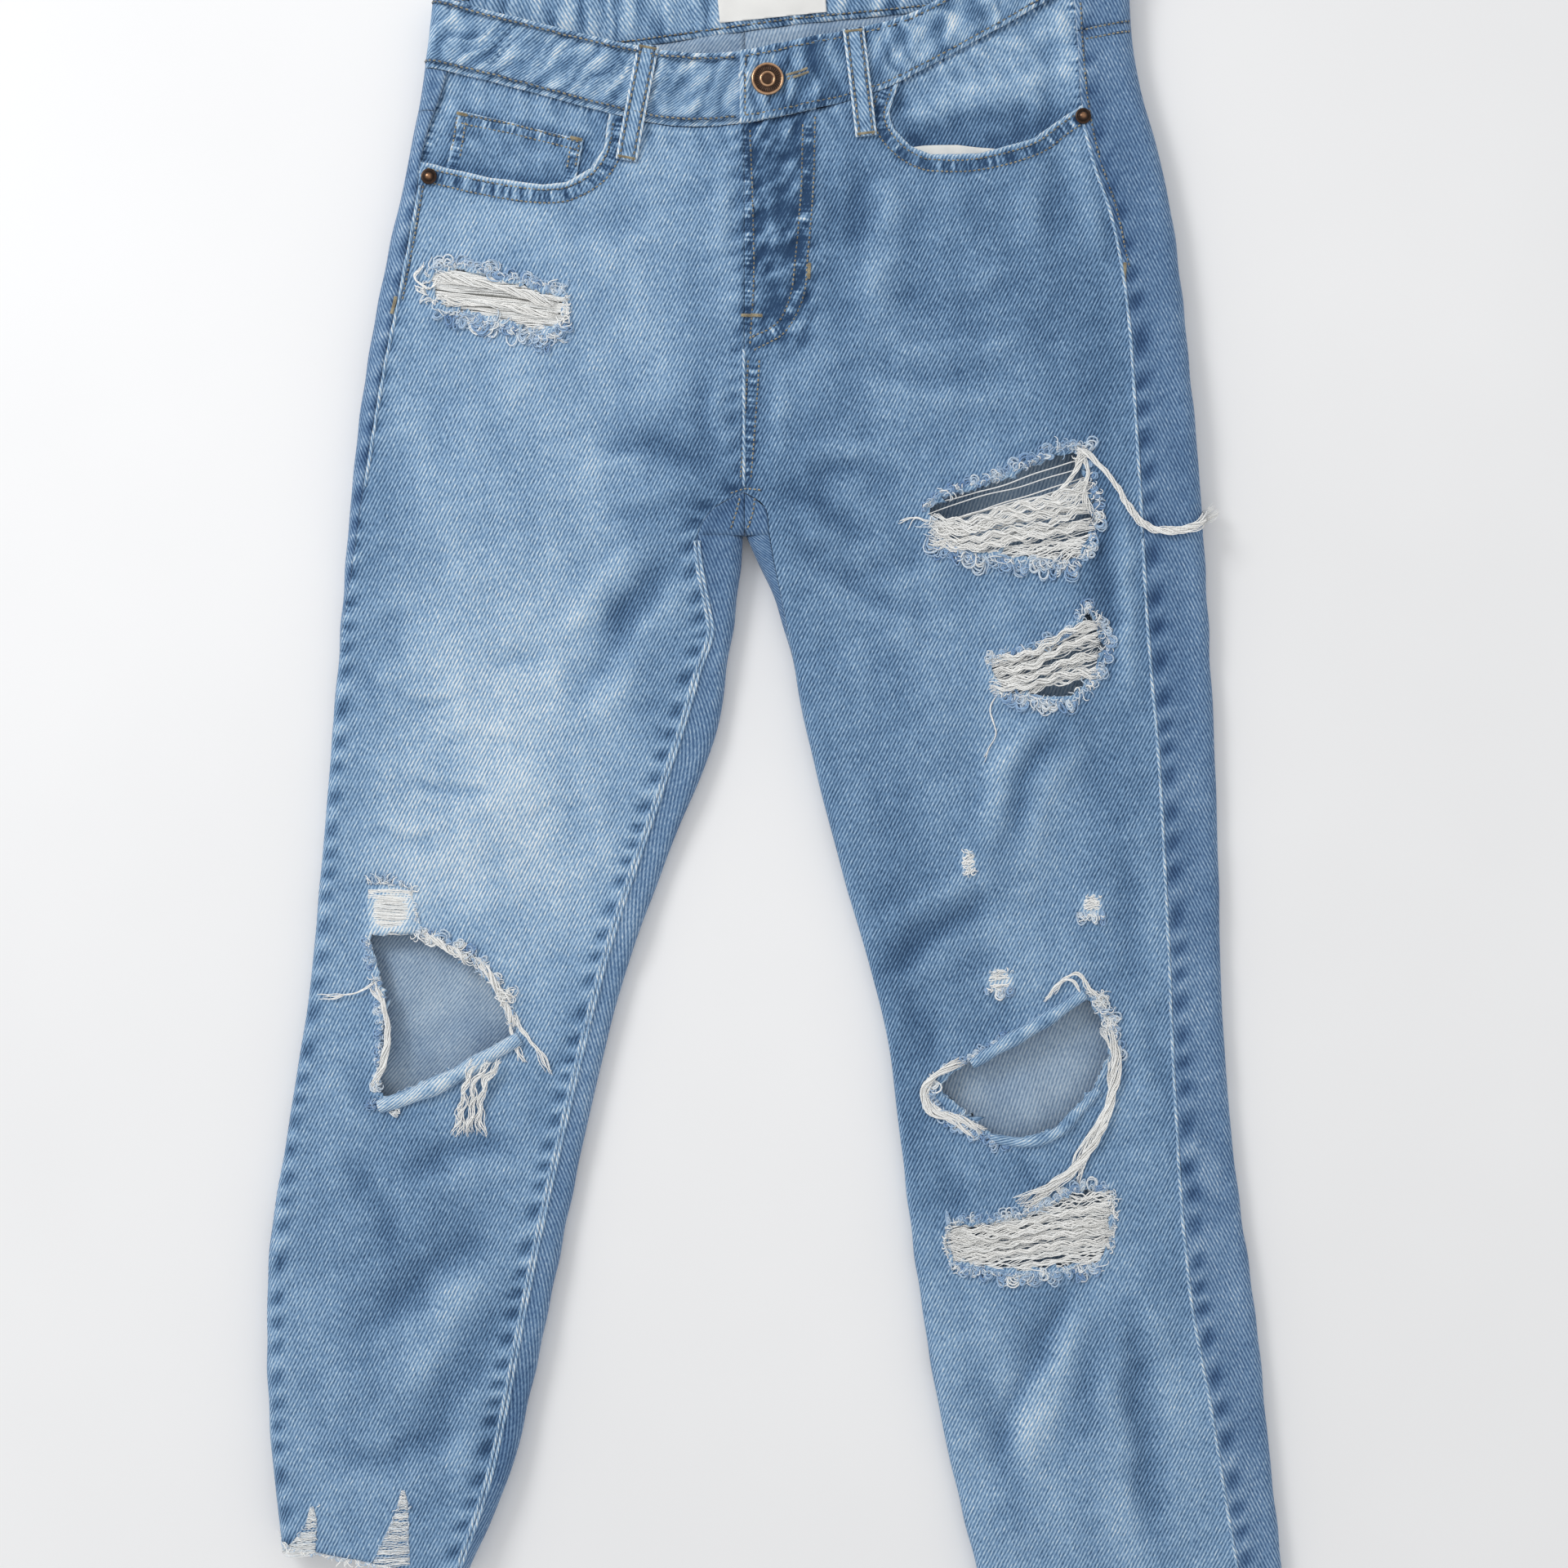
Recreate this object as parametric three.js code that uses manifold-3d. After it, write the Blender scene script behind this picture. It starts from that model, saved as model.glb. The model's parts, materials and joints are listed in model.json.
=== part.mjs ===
// Ripped denim jeans, laid on their back on a table: legs apart, waist open, button done up.
// Millimetres. +Z is up off the table, +Y runs from the hems to the waist, +X is the wearer's left.
// The cloth is one flattened tube at the hips that divides into two at the crotch. A place on the tube is
// given by y and by s, the distance round the section. On the upper side s is x; it grows over the edge at
// +X, back along the underside and over the edge at -X.

import * as THREE from 'three';
import Module from 'manifold-3d';
import { mergeVertices } from 'three/addons/utils/BufferGeometryUtils.js';

const clothWall = 1.2;
const bandWall = 2;
const seamGap = 0.2; // each piece stops this short of its seam
const layerGap = 0.3;

const centreX = -16.5; // front and back rise seams
const crotchY = 124; // fold between the legs
const crossingY = 147; // where the four leg panels meet, turned up onto the front
const hipY = 275; // highest straight row: above it the rows fan out to the waist seams
const hipHeight = 16;
const hipLift = 2; // room under the seat for the back pockets and belt loops
const hipTop = hipLift + hipHeight;

const bandOverlap = { end: -19, flat: 25, foot: 34, lift: bandWall + layerGap };
const underlapEnd = 22;
const buttonCentre = [-4, 368];
const buttonRadius = 8.8;
const shankRadius = 2;
const rivetRadius = 4.3;
const loopSize = { width: 12, wall: 1.5 };

const denim = 0x93b0c9;
const denimDark = 0x6f93b8;
const copper = 0x7a5a44;

// A smooth curve through [at, value] pairs given from the lowest `at` up, flat beyond both ends.
function curve(pairs) {
  return (at) => {
    if (at <= pairs[0][0]) return pairs[0][1];
    let i = 1;
    while (i < pairs.length - 1 && at > pairs[i][0]) i += 1;
    const [a0, v0] = pairs[i - 1];
    const [a1, v1] = pairs[i];
    if (at >= a1) return v1;
    const before = pairs[Math.max(i - 2, 0)];
    const after = pairs[Math.min(i + 1, pairs.length - 1)];
    const slope0 = (v1 - before[1]) / (a1 - before[0]);
    const slope1 = (after[1] - v0) / (after[0] - a0);
    const span = a1 - a0;
    const t = (at - a0) / span;
    const t2 = t * t;
    const t3 = t2 * t;
    return v0 * (2 * t3 - 3 * t2 + 1) + slope0 * span * (t3 - 2 * t2 + t)
      + v1 * (3 * t2 - 2 * t3) + slope1 * span * (t3 - t2);
  };
}

// Edges of the garment seen from above: x at each y.
const outerRight = curve([[-440, -264], [-375, -272], [-329, -275], [-263, -274], [-197, -264],
  [-118, -252], [41, -238], [146, -229], [226, -219], [358, -192], [420, -184]]);
const outerLeft = curve([[-463, 278], [-382, 269], [-302, 261], [-223, 250], [-144, 243],
  [14, 238], [173, 228], [305, 213], [384, 194], [462, 191]]);
const innerRight = curve([[-441, -168], [-382, -143], [-329, -130], [-223, -108], [-144, -90],
  [-91, -74], [-38, -54], [14, -33], [60, -25], [94, -20], [crotchY, -17]]);
const innerLeft = curve([[-463, 116], [-355, 90], [-276, 77], [-197, 67], [-144, 60],
  [-38, 31], [14, 18], [67, 7], [94, -2], [crotchY, -16]]);

// Height of each tube and how far its underside is off the table.
const heightRight = curve([[-440, 20], [-330, 15], [-200, 12], [60, 12.5], [crotchY, hipHeight]]);
const heightLeft = curve([[-463, 12], [60, 12.5], [crotchY, hipHeight]]);
const lift = curve([[60, 0], [150, hipLift]]);

// Hems slope a little: rise in y for each mm towards +X, over the lowest stretch of leg.
const hemRight = { y: -429, slope: -0.2 };
const hemLeft = { y: -453, slope: 0.126 };
const hemReach = 60;

// Waist seams seen from above: y at each x, on the upper side and on the underside.
const bandBottomFront = curve([[-188, 376], [-154, 368], [-82, 349], [-53, 344], [-19, 345], [8, 350],
  [51, 361], [81, 375], [125, 399], [160, 417], [193, 421]]);
const bandTopFront = curve([[-185, 415], [-154, 406], [-74, 387], [-44, 383], [-19, 384], [8, 389],
  [66, 402], [88, 412], [124, 432], [159, 456], [192, 463.2]]);
const bandBottomBack = curve([[-188, 376], [-79, 390], [5, 402], [66, 408], [193, 421]]);
const bandTopBack = curve([[-185, 415], [-140, 426], [-40, 432], [34, 439], [110, 451], [192, 463.2]]);
const yokeLine = curve([[-188, 353], [-100, 343], [centreX, 334], [90, 362], [165, 396], [193, 401]]);
const turning = (back, front) => ({ x, z }) => (
  THREE.MathUtils.lerp(back(x), front(x), THREE.MathUtils.clamp((z - hipLift) / hipHeight, 0, 1)));
const bandBottom = turning(bandBottomBack, bandBottomFront);
const bandTop = turning(bandTopBack, bandTopFront);
const yokeSeam = ({ x }) => yokeLine(x);

// Leg seams: s at each y.
const pastOuterRight = curve([[-440, -15], [-40, -15], [40, -9], [104, -3], [189, 1], [242, 3],
  [298, 2], [337, 0], [372, 5], [420, 7]]);
const pastInnerLeft = curve([[-463, -14], [20, -14], [50, -11], [80, -5], [106, 0], [crotchY, 5]]);
const outseamLeft = curve([[-463, 255], [-396, 244], [-342, 235], [-286, 225], [-204, 218], [-95, 213],
  [-1, 208], [98, 200], [228, 192], [263, 188], [294, 182], [324, 172], [355, 165], [399, 162], [439, 157]]);
const inseamRightOnTop = curve([[-440, -173], [-379, -153], [-274, -132], [-214, -119], [-104, -92],
  [-28, -67], [19, -51], [50, -42], [71, -35], [87, -37], [109, -41], [126, -41], [140, -31],
  [crossingY, centreX]]);
const inseamLeftOnTop = curve([[crotchY, -3], [140, -6], [crossingY, centreX]]);

// Largest folds of the upper layer: soft ridges (+) and troughs (-) along straight lines.
const folds = [
  { from: [150, 30], to: [112, -60], rise: 2.6, width: 18 },
  { from: [176, 10], to: [150, -70], rise: -1.8, width: 14 },
  { from: [166, -275], to: [112, -385], rise: -2.4, width: 17 },
  { from: [196, -300], to: [165, -400], rise: 1.8, width: 18 },
  { from: [-70, 60], to: [-150, -30], rise: 1.6, width: 20 },
  { from: [-190, -250], to: [-160, -330], rise: 2, width: 18 },
];

function foldRise(x, y) {
  let rise = 0;
  for (const fold of folds) {
    const [x0, y0] = fold.from;
    const dx = fold.to[0] - x0;
    const dy = fold.to[1] - y0;
    const along = THREE.MathUtils.clamp(((x - x0) * dx + (y - y0) * dy) / (dx * dx + dy * dy), 0, 1);
    const away = Math.hypot(x - x0 - along * dx, y - y0 - along * dy) / fold.width;
    rise += fold.rise * Math.exp(-away * away);
  }
  return rise;
}

// Section of a tube at one y: a stadium between two edges.
function section(low, high, height, y) {
  const r = height / 2;
  const flat = high - low - height;
  return { low: low + r, high: high - r, r, flat, round: 2 * flat + 2 * Math.PI * r, base: lift(y) };
}

const hipSection = (y) => section(outerRight(y), outerLeft(y), hipHeight, y);
const legRightSection = (y) => section(outerRight(y), innerRight(y), heightRight(y), y);
const legLeftSection = (y) => section(innerLeft(y), outerLeft(y), heightLeft(y), y);

function onSection(ring, s) {
  const arc = Math.PI * ring.r;
  const t = THREE.MathUtils.euclideanModulo(s - ring.low, ring.round);
  if (t <= ring.flat) return [ring.low + t, ring.base + 2 * ring.r];
  if (t < ring.flat + arc) {
    const turn = (t - ring.flat) / ring.r;
    return [ring.high + ring.r * Math.sin(turn), ring.base + ring.r + ring.r * Math.cos(turn)];
  }
  if (t <= 2 * ring.flat + arc) return [ring.high - (t - ring.flat - arc), ring.base];
  const turn = (t - 2 * ring.flat - arc) / ring.r;
  return [ring.low - ring.r * Math.sin(turn), ring.base + ring.r - ring.r * Math.cos(turn)];
}

// The outer face of the cloth at s on the section at y, with the way out of it across the section. Above the
// crotch both layers close round the fold.
function clothPoint(sectionAt, y, s) {
  const ring = sectionAt(y);
  const [behind, ahead] = [onSection(ring, s - 0.5), onSection(ring, s + 0.5)];
  let [x, z] = onSection(ring, s);
  const middle = ring.base + ring.r;
  if (y >= crotchY) {
    const near = Math.min(1, Math.hypot(x - centreX, y - crotchY) / ring.r);
    z = middle + (z - middle) * Math.sqrt(1 - (1 - near) * (1 - near));
  }
  const upper = THREE.MathUtils.smoothstep(z, middle, ring.base + 2 * ring.r);
  const point = new THREE.Vector3(x, y, z + upper * foldRise(x, y));
  point.out = new THREE.Vector3(behind[1] - ahead[1], 0, ahead[0] - behind[0]).normalize();
  return point;
}

function spread(from, to, count) {
  return Array.from({ length: count + 1 }, (_, i) => from + ((to - from) * i) / count);
}

// One row of cloth points for each row value. `ends(y)` gives s where a row starts and stops, with any
// place it must pass between; `counts` is the number of steps in each stretch; `place` gives y at a point.
function clothRows(sectionAt, rowValues, ends, counts, place = (row) => row) {
  const columns = counts.flatMap((count, k) => spread(k, k + 1, count).slice(k ? 1 : 0));
  return rowValues.map((row) => columns.map((column) => {
    const k = Math.min(Math.floor(column), counts.length - 1);
    let point = new THREE.Vector3(0, row, hipTop);
    let y = place(row, point);
    for (let pass = 0; pass < 5; pass += 1) {
      const stops = ends(y);
      point = clothPoint(sectionAt, y, THREE.MathUtils.lerp(stops[k], stops[k + 1], column - k));
      y = place(row, point);
    }
    return point;
  }));
}

// A closed wall of cloth whose outer face is the given grids, joined where their points agree, and whose
// inner face is `thickness` behind it. Rows run towards +Y and points along +s, so faces look outwards.
function wall(grids, thickness) {
  const found = new Map();
  const points = [];
  const faces = [];
  const indexOf = (p) => {
    const key = p.toArray().map((v) => Math.round(v * 1000)).join();
    if (!found.has(key)) {
      found.set(key, points.length);
      points.push(p);
    }
    return found.get(key);
  };
  const addFace = (a, b, c) => {
    if (a !== b && b !== c && c !== a) faces.push([a, b, c]);
  };
  for (const rows of grids) {
    const ids = rows.map((row) => row.map(indexOf));
    for (let i = 0; i + 1 < rows.length; i += 1) {
      for (let j = 0; j + 1 < rows[i].length; j += 1) {
        addFace(ids[i][j], ids[i][j + 1], ids[i + 1][j + 1]);
        addFace(ids[i][j], ids[i + 1][j + 1], ids[i + 1][j]);
      }
    }
  }
  const edges = new Map();
  for (const face of faces) {
    face.forEach((from, i) => edges.set(`${from}_${face[(i + 1) % 3]}`, [from, face[(i + 1) % 3]]));
  }
  const inner = points.map((p) => p.clone().addScaledVector(p.out, -thickness));
  const n = points.length;
  const index = [];
  for (const [a, b, c] of faces) index.push(a, b, c, n + a, n + c, n + b);
  for (const [a, b] of edges.values()) {
    if (!edges.has(`${b}_${a}`)) index.push(b, a, n + a, b, n + a, n + b);
  }
  const geometry = new THREE.BufferGeometry();
  geometry.setAttribute('position', new THREE.Float32BufferAttribute(
    [...points, ...inner].flatMap((p) => p.toArray()), 3));
  geometry.setIndex(index);
  return geometry;
}

// A flat piece cut to an outline, between two heights.
function flatPiece(outline, bottom, top) {
  const shape = new THREE.Shape(outline.map(([x, y]) => new THREE.Vector2(x, y)));
  const geometry = new THREE.ExtrudeGeometry(shape, { depth: top - bottom, bevelEnabled: false });
  return geometry.translate(0, 0, bottom);
}

const wasm = await Module();
wasm.setup();

function toSolid(geometry) {
  const bare = geometry.clone();
  bare.deleteAttribute('normal');
  bare.deleteAttribute('uv');
  const merged = mergeVertices(bare, 1e-4);
  return new wasm.Manifold(new wasm.Mesh({
    numProp: 3,
    vertProperties: new Float32Array(merged.attributes.position.array),
    triVerts: new Uint32Array(merged.index.array),
  }));
}

function toGeometry(solid) {
  const mesh = solid.getMesh();
  const geometry = new THREE.BufferGeometry();
  geometry.setAttribute('position', new THREE.BufferAttribute(mesh.vertProperties, 3));
  geometry.setIndex(new THREE.BufferAttribute(mesh.triVerts, 1));
  return geometry;
}

const jeans = new THREE.Group();

function addPiece(name, geometry, color, roughness = 0.92, metalness = 0) {
  const material = new THREE.MeshStandardMaterial({ color, roughness, metalness });
  const mesh = new THREE.Mesh(geometry, material);
  mesh.name = name;
  jeans.add(mesh);
  return mesh;
}

// Rows of the leg panels: straight up to the hip, then fanning out to the seam above. A fan row is hipY
// plus the part of the way to that seam.
const legRows = (low) => [...spread(low, 40, 16), 54, 68, 86, 106, crotchY];
const hipRows = [127, 132, 140, crossingY, 175, 210, 243, hipY, hipY + 1 / 3, hipY + 2 / 3, hipY + 1];
const fanTo = (seam, short) => (row, point) => (
  row > hipY ? hipY + (row - hipY) * (seam(point) - short - hipY) : row);
const slopeTo = (hem, middle) => (row, { x }) => (
  row + THREE.MathUtils.clamp(1 - (row - hem.y) / hemReach, 0, 1) * hem.slope * (x - middle));

// Where seams and folds lie, as s on the section at y. The outseams bend most beside the pockets.
const besideSeam = (y) => (y > hipY ? 4 * seamGap : seamGap);
const outseamRight = (y) => outerRight(y) + heightAt(outerRight, y) / 2 + pastOuterRight(y);
const inseamLeft = (y) => innerLeft(y) + heightLeft(y) / 2 + pastInnerLeft(y);
const innerFoldRight = (y) => legRightSection(y).high + (Math.PI * legRightSection(y).r) / 2;
const innerFoldLeft = (y) => legLeftSection(y).low - (Math.PI * legLeftSection(y).r) / 2;
const underRight = (x) => (y) => 2 * hipSection(y).low - Math.PI * hipSection(y).r - x;
const underLeft = (x) => (y) => 2 * hipSection(y).high + Math.PI * hipSection(y).r - x;

function heightAt(edge, y) {
  return y >= crotchY ? hipHeight : heightRight(y);
}

// Pocket mouths, cut out of the fronts down from the waist.
const mouthRight = [[-89, 349], [-92, 332], [-99, 321], [-112, 313.5], [-125, 312], [-153, 316],
  [-193, 325]];
const mouthLeft = [[66, 366], [61, 350], [64, 342], [73, 333], [84, 328.5], [110, 329], [139, 337],
  [154, 348], [168, 357]];

// Rips worn right through the fronts.
const hipRip = [[-185, 264], [-167, 267], [-136, 258], [-114, 252], [-114, 240], [-124, 233], [-154, 241],
  [-180, 247]];
const kneeRipRight = [[-220, -91], [-193, -91], [-165, -103], [-150, -122], [-138, -146], [-206, -179],
  [-214, -176], [-211, -124]];
const thighRip = [[82, 137], [90, 144], [124, 155], [154, 169], [165, 167], [169, 148], [170, 126],
  [163, 110], [120, 112], [92, 119]];
const lowerThighRip = [[116, 56], [154, 67], [171, 84], [177, 65], [172, 50], [158, 36], [122, 39]];
const kneeRipLeft = [[87, -173], [100, -163], [126, -149], [167, -124], [177, -139], [182, -153],
  [172, -174], [152, -196], [138, -200], [122, -203], [108, -192]];
const shinRip = [[94, -248], [124, -246], [146, -239], [163, -229], [180, -229], [181, -260],
  [174, -269], [130, -273], [95, -267]];

// Cloth rolled over on itself along the knee rips: a solid roll joined to the front.
const rolls = {
  right: [{ path: [[-206, -181], [-172, -166], [-140, -149]], radius: 4 }],
  left: [
    { path: [[124, -148], [146, -136], [167, -123]], radius: 4 },
    { path: [[126, -204], [152, -198], [172, -177]], radius: 3 },
  ],
};

function rollGeometry({ path, radius }, top) {
  const rollSection = new THREE.Shape(spread(0, 7 / 8, 7).map((turn) => new THREE.Vector2(
    radius * Math.cos(2 * Math.PI * turn), radius * Math.sin(2 * Math.PI * turn))));
  const line = new THREE.CatmullRomCurve3(path.map(([x, y]) => new THREE.Vector3(x, y, top + 0.6 * radius)));
  return new THREE.ExtrudeGeometry(rollSection, { steps: 5, extrudePath: line });
}

function cutFront(grids, openings, rollList) {
  let solid = toSolid(wall(grids, clothWall));
  for (const outline of openings) solid = solid.subtract(toSolid(flatPiece(outline, 6, 40)));
  for (const roll of rollList) solid = solid.add(toSolid(rollGeometry(roll, 12)));
  return toGeometry(solid);
}

const slopeRight = slopeTo(hemRight, -215);
const slopeLeft = slopeTo(hemLeft, 196);

// Each front runs from seam to seam over the top, in close steps round any edge.
const frontSteps = [3, 6];
const edgeStart = (ring, s) => Math.max(ring.low, s + 3);

addPiece('front_right', cutFront([
  clothRows(legRightSection, legRows(hemRight.y), (y) => [
    outseamRight(y) + besideSeam(y), edgeStart(legRightSection(y), outseamRight(y)),
    inseamRightOnTop(y) - seamGap], frontSteps, slopeRight),
  clothRows(hipSection, [crotchY, ...hipRows], (y) => [
    outseamRight(y) + besideSeam(y), edgeStart(hipSection(y), outseamRight(y)),
    (y < crossingY ? inseamRightOnTop(y) : centreX) - seamGap], frontSteps, fanTo(bandBottom, 0.8)),
], [[...mouthRight, [-215, 326], [-215, 400], [-90, 400]], hipRip, kneeRipRight], rolls.right), denim);

addPiece('front_left', cutFront([
  clothRows(legLeftSection, legRows(hemLeft.y), (y) => [
    inseamLeft(y) + seamGap, edgeStart(legLeftSection(y), inseamLeft(y)),
    outseamLeft(y) - besideSeam(y)], frontSteps, slopeLeft),
  clothRows(hipSection, [crotchY, ...hipRows], (y) => [
    (y < crossingY ? inseamLeftOnTop(y) : centreX) + seamGap,
    (y < crossingY ? inseamLeftOnTop(y) : centreX) + 3,
    outseamLeft(y) - besideSeam(y)], frontSteps, fanTo(bandBottom, 0.8)),
], [[...mouthLeft, [180, 360], [180, 430], [67, 430]], thighRip, lowerThighRip, kneeRipLeft, shinRip],
rolls.left), denim);

// Each back runs from its inseam round the inner fold and the underside to its outseam. Above the crotch
// it parts in two: the seat underneath, and a tongue that turns up on to the front as far as the crossing.
const tongueRows = [127, 132, 140, 144];
const tongueGap = (y) => (y > 140 ? 1.2 : seamGap);
const tongueSteps = [1, 2];
const seatSteps = [2, 6, 3];
const sum = (counts) => counts.reduce((total, count) => total + count, 0);

function backRight() {
  const leg = clothRows(legRightSection, legRows(hemRight.y), (y) => {
    const ring = legRightSection(y);
    const under = ring.high + Math.PI * ring.r;
    const inseam = inseamRightOnTop(y) + seamGap;
    return [inseam, Math.max(ring.high, inseam + 1), innerFoldRight(y), under, under + ring.flat,
      outseamRight(y) - besideSeam(y) + ring.round];
  }, [...tongueSteps, ...seatSteps], slopeRight);
  const fork = leg.at(-1);
  const tongue = clothRows(hipSection, tongueRows,
    (y) => [inseamRightOnTop(y) + tongueGap(y), centreX - seamGap], [sum(tongueSteps)]);
  const seat = clothRows(hipSection, hipRows, (y) => [
    underRight(centreX - seamGap)(y), underRight(centreX - 12)(y), underRight(hipSection(y).low)(y),
    outseamRight(y) - besideSeam(y)], seatSteps, fanTo(yokeSeam, 0.9));
  return [leg, [fork.slice(0, sum(tongueSteps) + 1), ...tongue], [fork.slice(sum(tongueSteps)), ...seat]];
}

function backLeft() {
  const leg = clothRows(legLeftSection, legRows(hemLeft.y), (y) => {
    const ring = legLeftSection(y);
    const under = ring.high + Math.PI * ring.r;
    const inseam = inseamLeft(y) - seamGap;
    return [outseamLeft(y) + besideSeam(y), ring.high, under, under + ring.flat,
      Math.min(innerFoldLeft(y), inseam - 2) + ring.round, Math.min(ring.low, inseam - 1) + ring.round,
      inseam + ring.round];
  }, [1, 3, 5, 2, 2, 1], slopeLeft);
  const fork = leg.at(-1);
  const tongue = clothRows(hipSection, tongueRows,
    (y) => [centreX + seamGap, inseamLeftOnTop(y) - tongueGap(y)], [sum(tongueSteps)]);
  const seat = clothRows(hipSection, hipRows, (y) => [
    outseamLeft(y) + besideSeam(y), hipSection(y).high, underLeft(hipSection(y).high)(y),
    underLeft(centreX + 12)(y), underLeft(centreX + seamGap)(y)], [1, 3, 5, 2], fanTo(yokeSeam, 0.9));
  return [leg, [fork.slice(0, sum(seatSteps) + 1), ...seat], [fork.slice(sum(seatSteps)), ...tongue]];
}

addPiece('back_right', wall(backRight(), clothWall), denimDark);
addPiece('back_left', wall(backLeft(), clothWall), denimDark);

// Yokes, between the seat seam and the waistband.
const yokePlace = (row, point) => THREE.MathUtils.lerp(
  yokeSeam(point), bandBottom(point) - 0.8, row);
addPiece('yoke_right', wall([clothRows(hipSection, [0, 1 / 2, 1], (y) => [
  underRight(centreX - seamGap)(y), underRight(hipSection(y).low)(y),
  outseamRight(y) - besideSeam(y)], [6, 4], yokePlace)], clothWall), denimDark);
addPiece('yoke_left', wall([clothRows(hipSection, [0, 1 / 2, 1], (y) => [
  outseamLeft(y) + besideSeam(y), hipSection(y).high, underLeft(hipSection(y).high)(y),
  underLeft(centreX + seamGap)(y)], [1, 4, 6], yokePlace)], clothWall), denimDark);

// Waistband: one strip from the button end, round the wearer's left, the back and the right, to the
// underlap. The button end is lifted over the underlap.
function waistbandGrid() {
  const place = (row, point) => THREE.MathUtils.lerp(bandBottom(point), bandTop(point), row);
  const grid = clothRows(hipSection, [0, 1 / 2, 1], (y) => {
    const ring = hipSection(y);
    const under = ring.high + Math.PI * ring.r;
    return [bandOverlap.end, bandOverlap.flat, bandOverlap.foot, ring.high, under, under + ring.flat,
      ring.low + ring.round, underlapEnd + ring.round];
  }, [3, 1, 8, 4, 10, 4, 8], place);
  const liftedColumns = 4;
  for (const row of grid) {
    row.slice(0, liftedColumns).forEach((point) => point.setZ(point.z + bandOverlap.lift));
  }
  return grid;
}

const buttonhole = flatPiece(spread(0, 7 / 8, 7).map((turn) => [
  buttonCentre[0] + (shankRadius + layerGap) * Math.cos(2 * Math.PI * turn),
  buttonCentre[1] + (shankRadius + layerGap) * Math.sin(2 * Math.PI * turn)]),
hipTop + layerGap / 2, hipTop + 6);
addPiece('waistband', toGeometry(
  toSolid(wall([waistbandGrid()], bandWall)).subtract(toSolid(buttonhole))), denim);

// Pocket pieces, layer under layer below the mouth.
const facingTop = hipTop - clothWall - layerGap;
const bagTop = facingTop - clothWall - layerGap;
const belowBand = (x) => bandBottomFront(x) - 0.8;
const facingRight = [[-82, belowBand(-82)], [-84, 326], [-98, 305], [-125, 300], [-160, 303], [-191, 311],
  [-188, 330], [-182, 350], [-177, 366], [-174, belowBand(-174)], [-154, belowBand(-154)],
  [-125, belowBand(-125)]];
const facingLeft = [[54, belowBand(54)], [54, 344], [66, 326], [84, 317], [112, 317], [142, 324],
  [168, 334], [164, 352], [162, 372], [160, 399], [157, belowBand(157)], [140, belowBand(140)],
  [125, belowBand(125)], [103, belowBand(103)], [81, belowBand(81)], [66, belowBand(66)]];
const coinPocket = [[-176, 325], [-170, 353], [-103, 337], [-106, 320]];
const bagRight = [[-84, 340], [-86, 250], [-110, 222], [-165, 222], [-190, 245], [-188, 300], [-184, 345]];
const bagLeft = [[56, 350], [58, 250], [80, 222], [150, 222], [176, 245], [168, 300], [160, 352]];
addPiece('pocket_facing_right', flatPiece(facingRight, facingTop - clothWall, facingTop), denimDark);
addPiece('pocket_facing_left', flatPiece(facingLeft, facingTop - clothWall, facingTop), denimDark);
addPiece('coin_pocket', flatPiece(coinPocket, facingTop + layerGap, facingTop + layerGap + 1), denim);
addPiece('pocket_bag_right', flatPiece(bagRight, bagTop - 1, bagTop), 0xe9e8e2);
addPiece('pocket_bag_left', flatPiece(bagLeft, bagTop - 1, bagTop), 0xe9e8e2);

// Fly: zip tape and shield behind the fronts.
const tapeTop = hipTop - 4;
addPiece('zip_tape', flatPiece([[-32, 226], [-4, 226], [-4, 343], [-32, 343]], tapeTop - 1, tapeTop),
  0x5d7390);
addPiece('zip_slider', flatPiece([[-21, 330], [-15, 330], [-14, 339], [-22, 339]],
  tapeTop + layerGap, tapeTop + layerGap + 1.6), copper, 0.45, 0.8);
addPiece('fly_shield', flatPiece([[-40, 232], [-34, 222], [2, 222], [2, 343], [-40, 343]],
  tapeTop - 1 - layerGap - clothWall, tapeTop - 1 - layerGap), denim);

// Belt loops: a strip from above the band to below it, standing off the band by `arch` between its ends.
// `side` is 1 on the upper layer and -1 on the underside.
function beltLoop([x0, y0], [x1, y1], side, arch) {
  const lower = new THREE.Vector3(x0, y0, 0);
  const upper = new THREE.Vector3(x1, y1, 0);
  const across = new THREE.Vector3(upper.y - lower.y, lower.x - upper.x, 0).setLength(loopSize.width / 2);
  const face = side > 0 ? hipTop : hipLift;
  const rows = spread(0, 1, 6).map((part) => {
    const off = layerGap + loopSize.wall + arch * Math.sin(Math.PI * part) ** 2;
    const middle = lower.clone().lerp(upper, part).setZ(face + side * off);
    return [-side, side].map((way) => {
      const point = middle.clone().addScaledVector(across, way);
      point.out = new THREE.Vector3(0, 0, side);
      return point;
    });
  });
  return wall([rows], loopSize.wall);
}

addPiece('belt_loop_front_right', beltLoop([-80, 325], [-68, 387], 1, 1.6), denim);
addPiece('belt_loop_front_left', beltLoop([49, 338], [42, 396], 1, 1.6), denim);
addPiece('belt_loop_back_right', beltLoop([-112, 377], [-110, 431], -1, 0.2), denim);
addPiece('belt_loop_back_centre', beltLoop([-16, 387], [-18, 438], -1, 0.2), denim);
addPiece('belt_loop_back_left', beltLoop([104, 400], [102, 454], -1, 0.2), denim);

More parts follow.
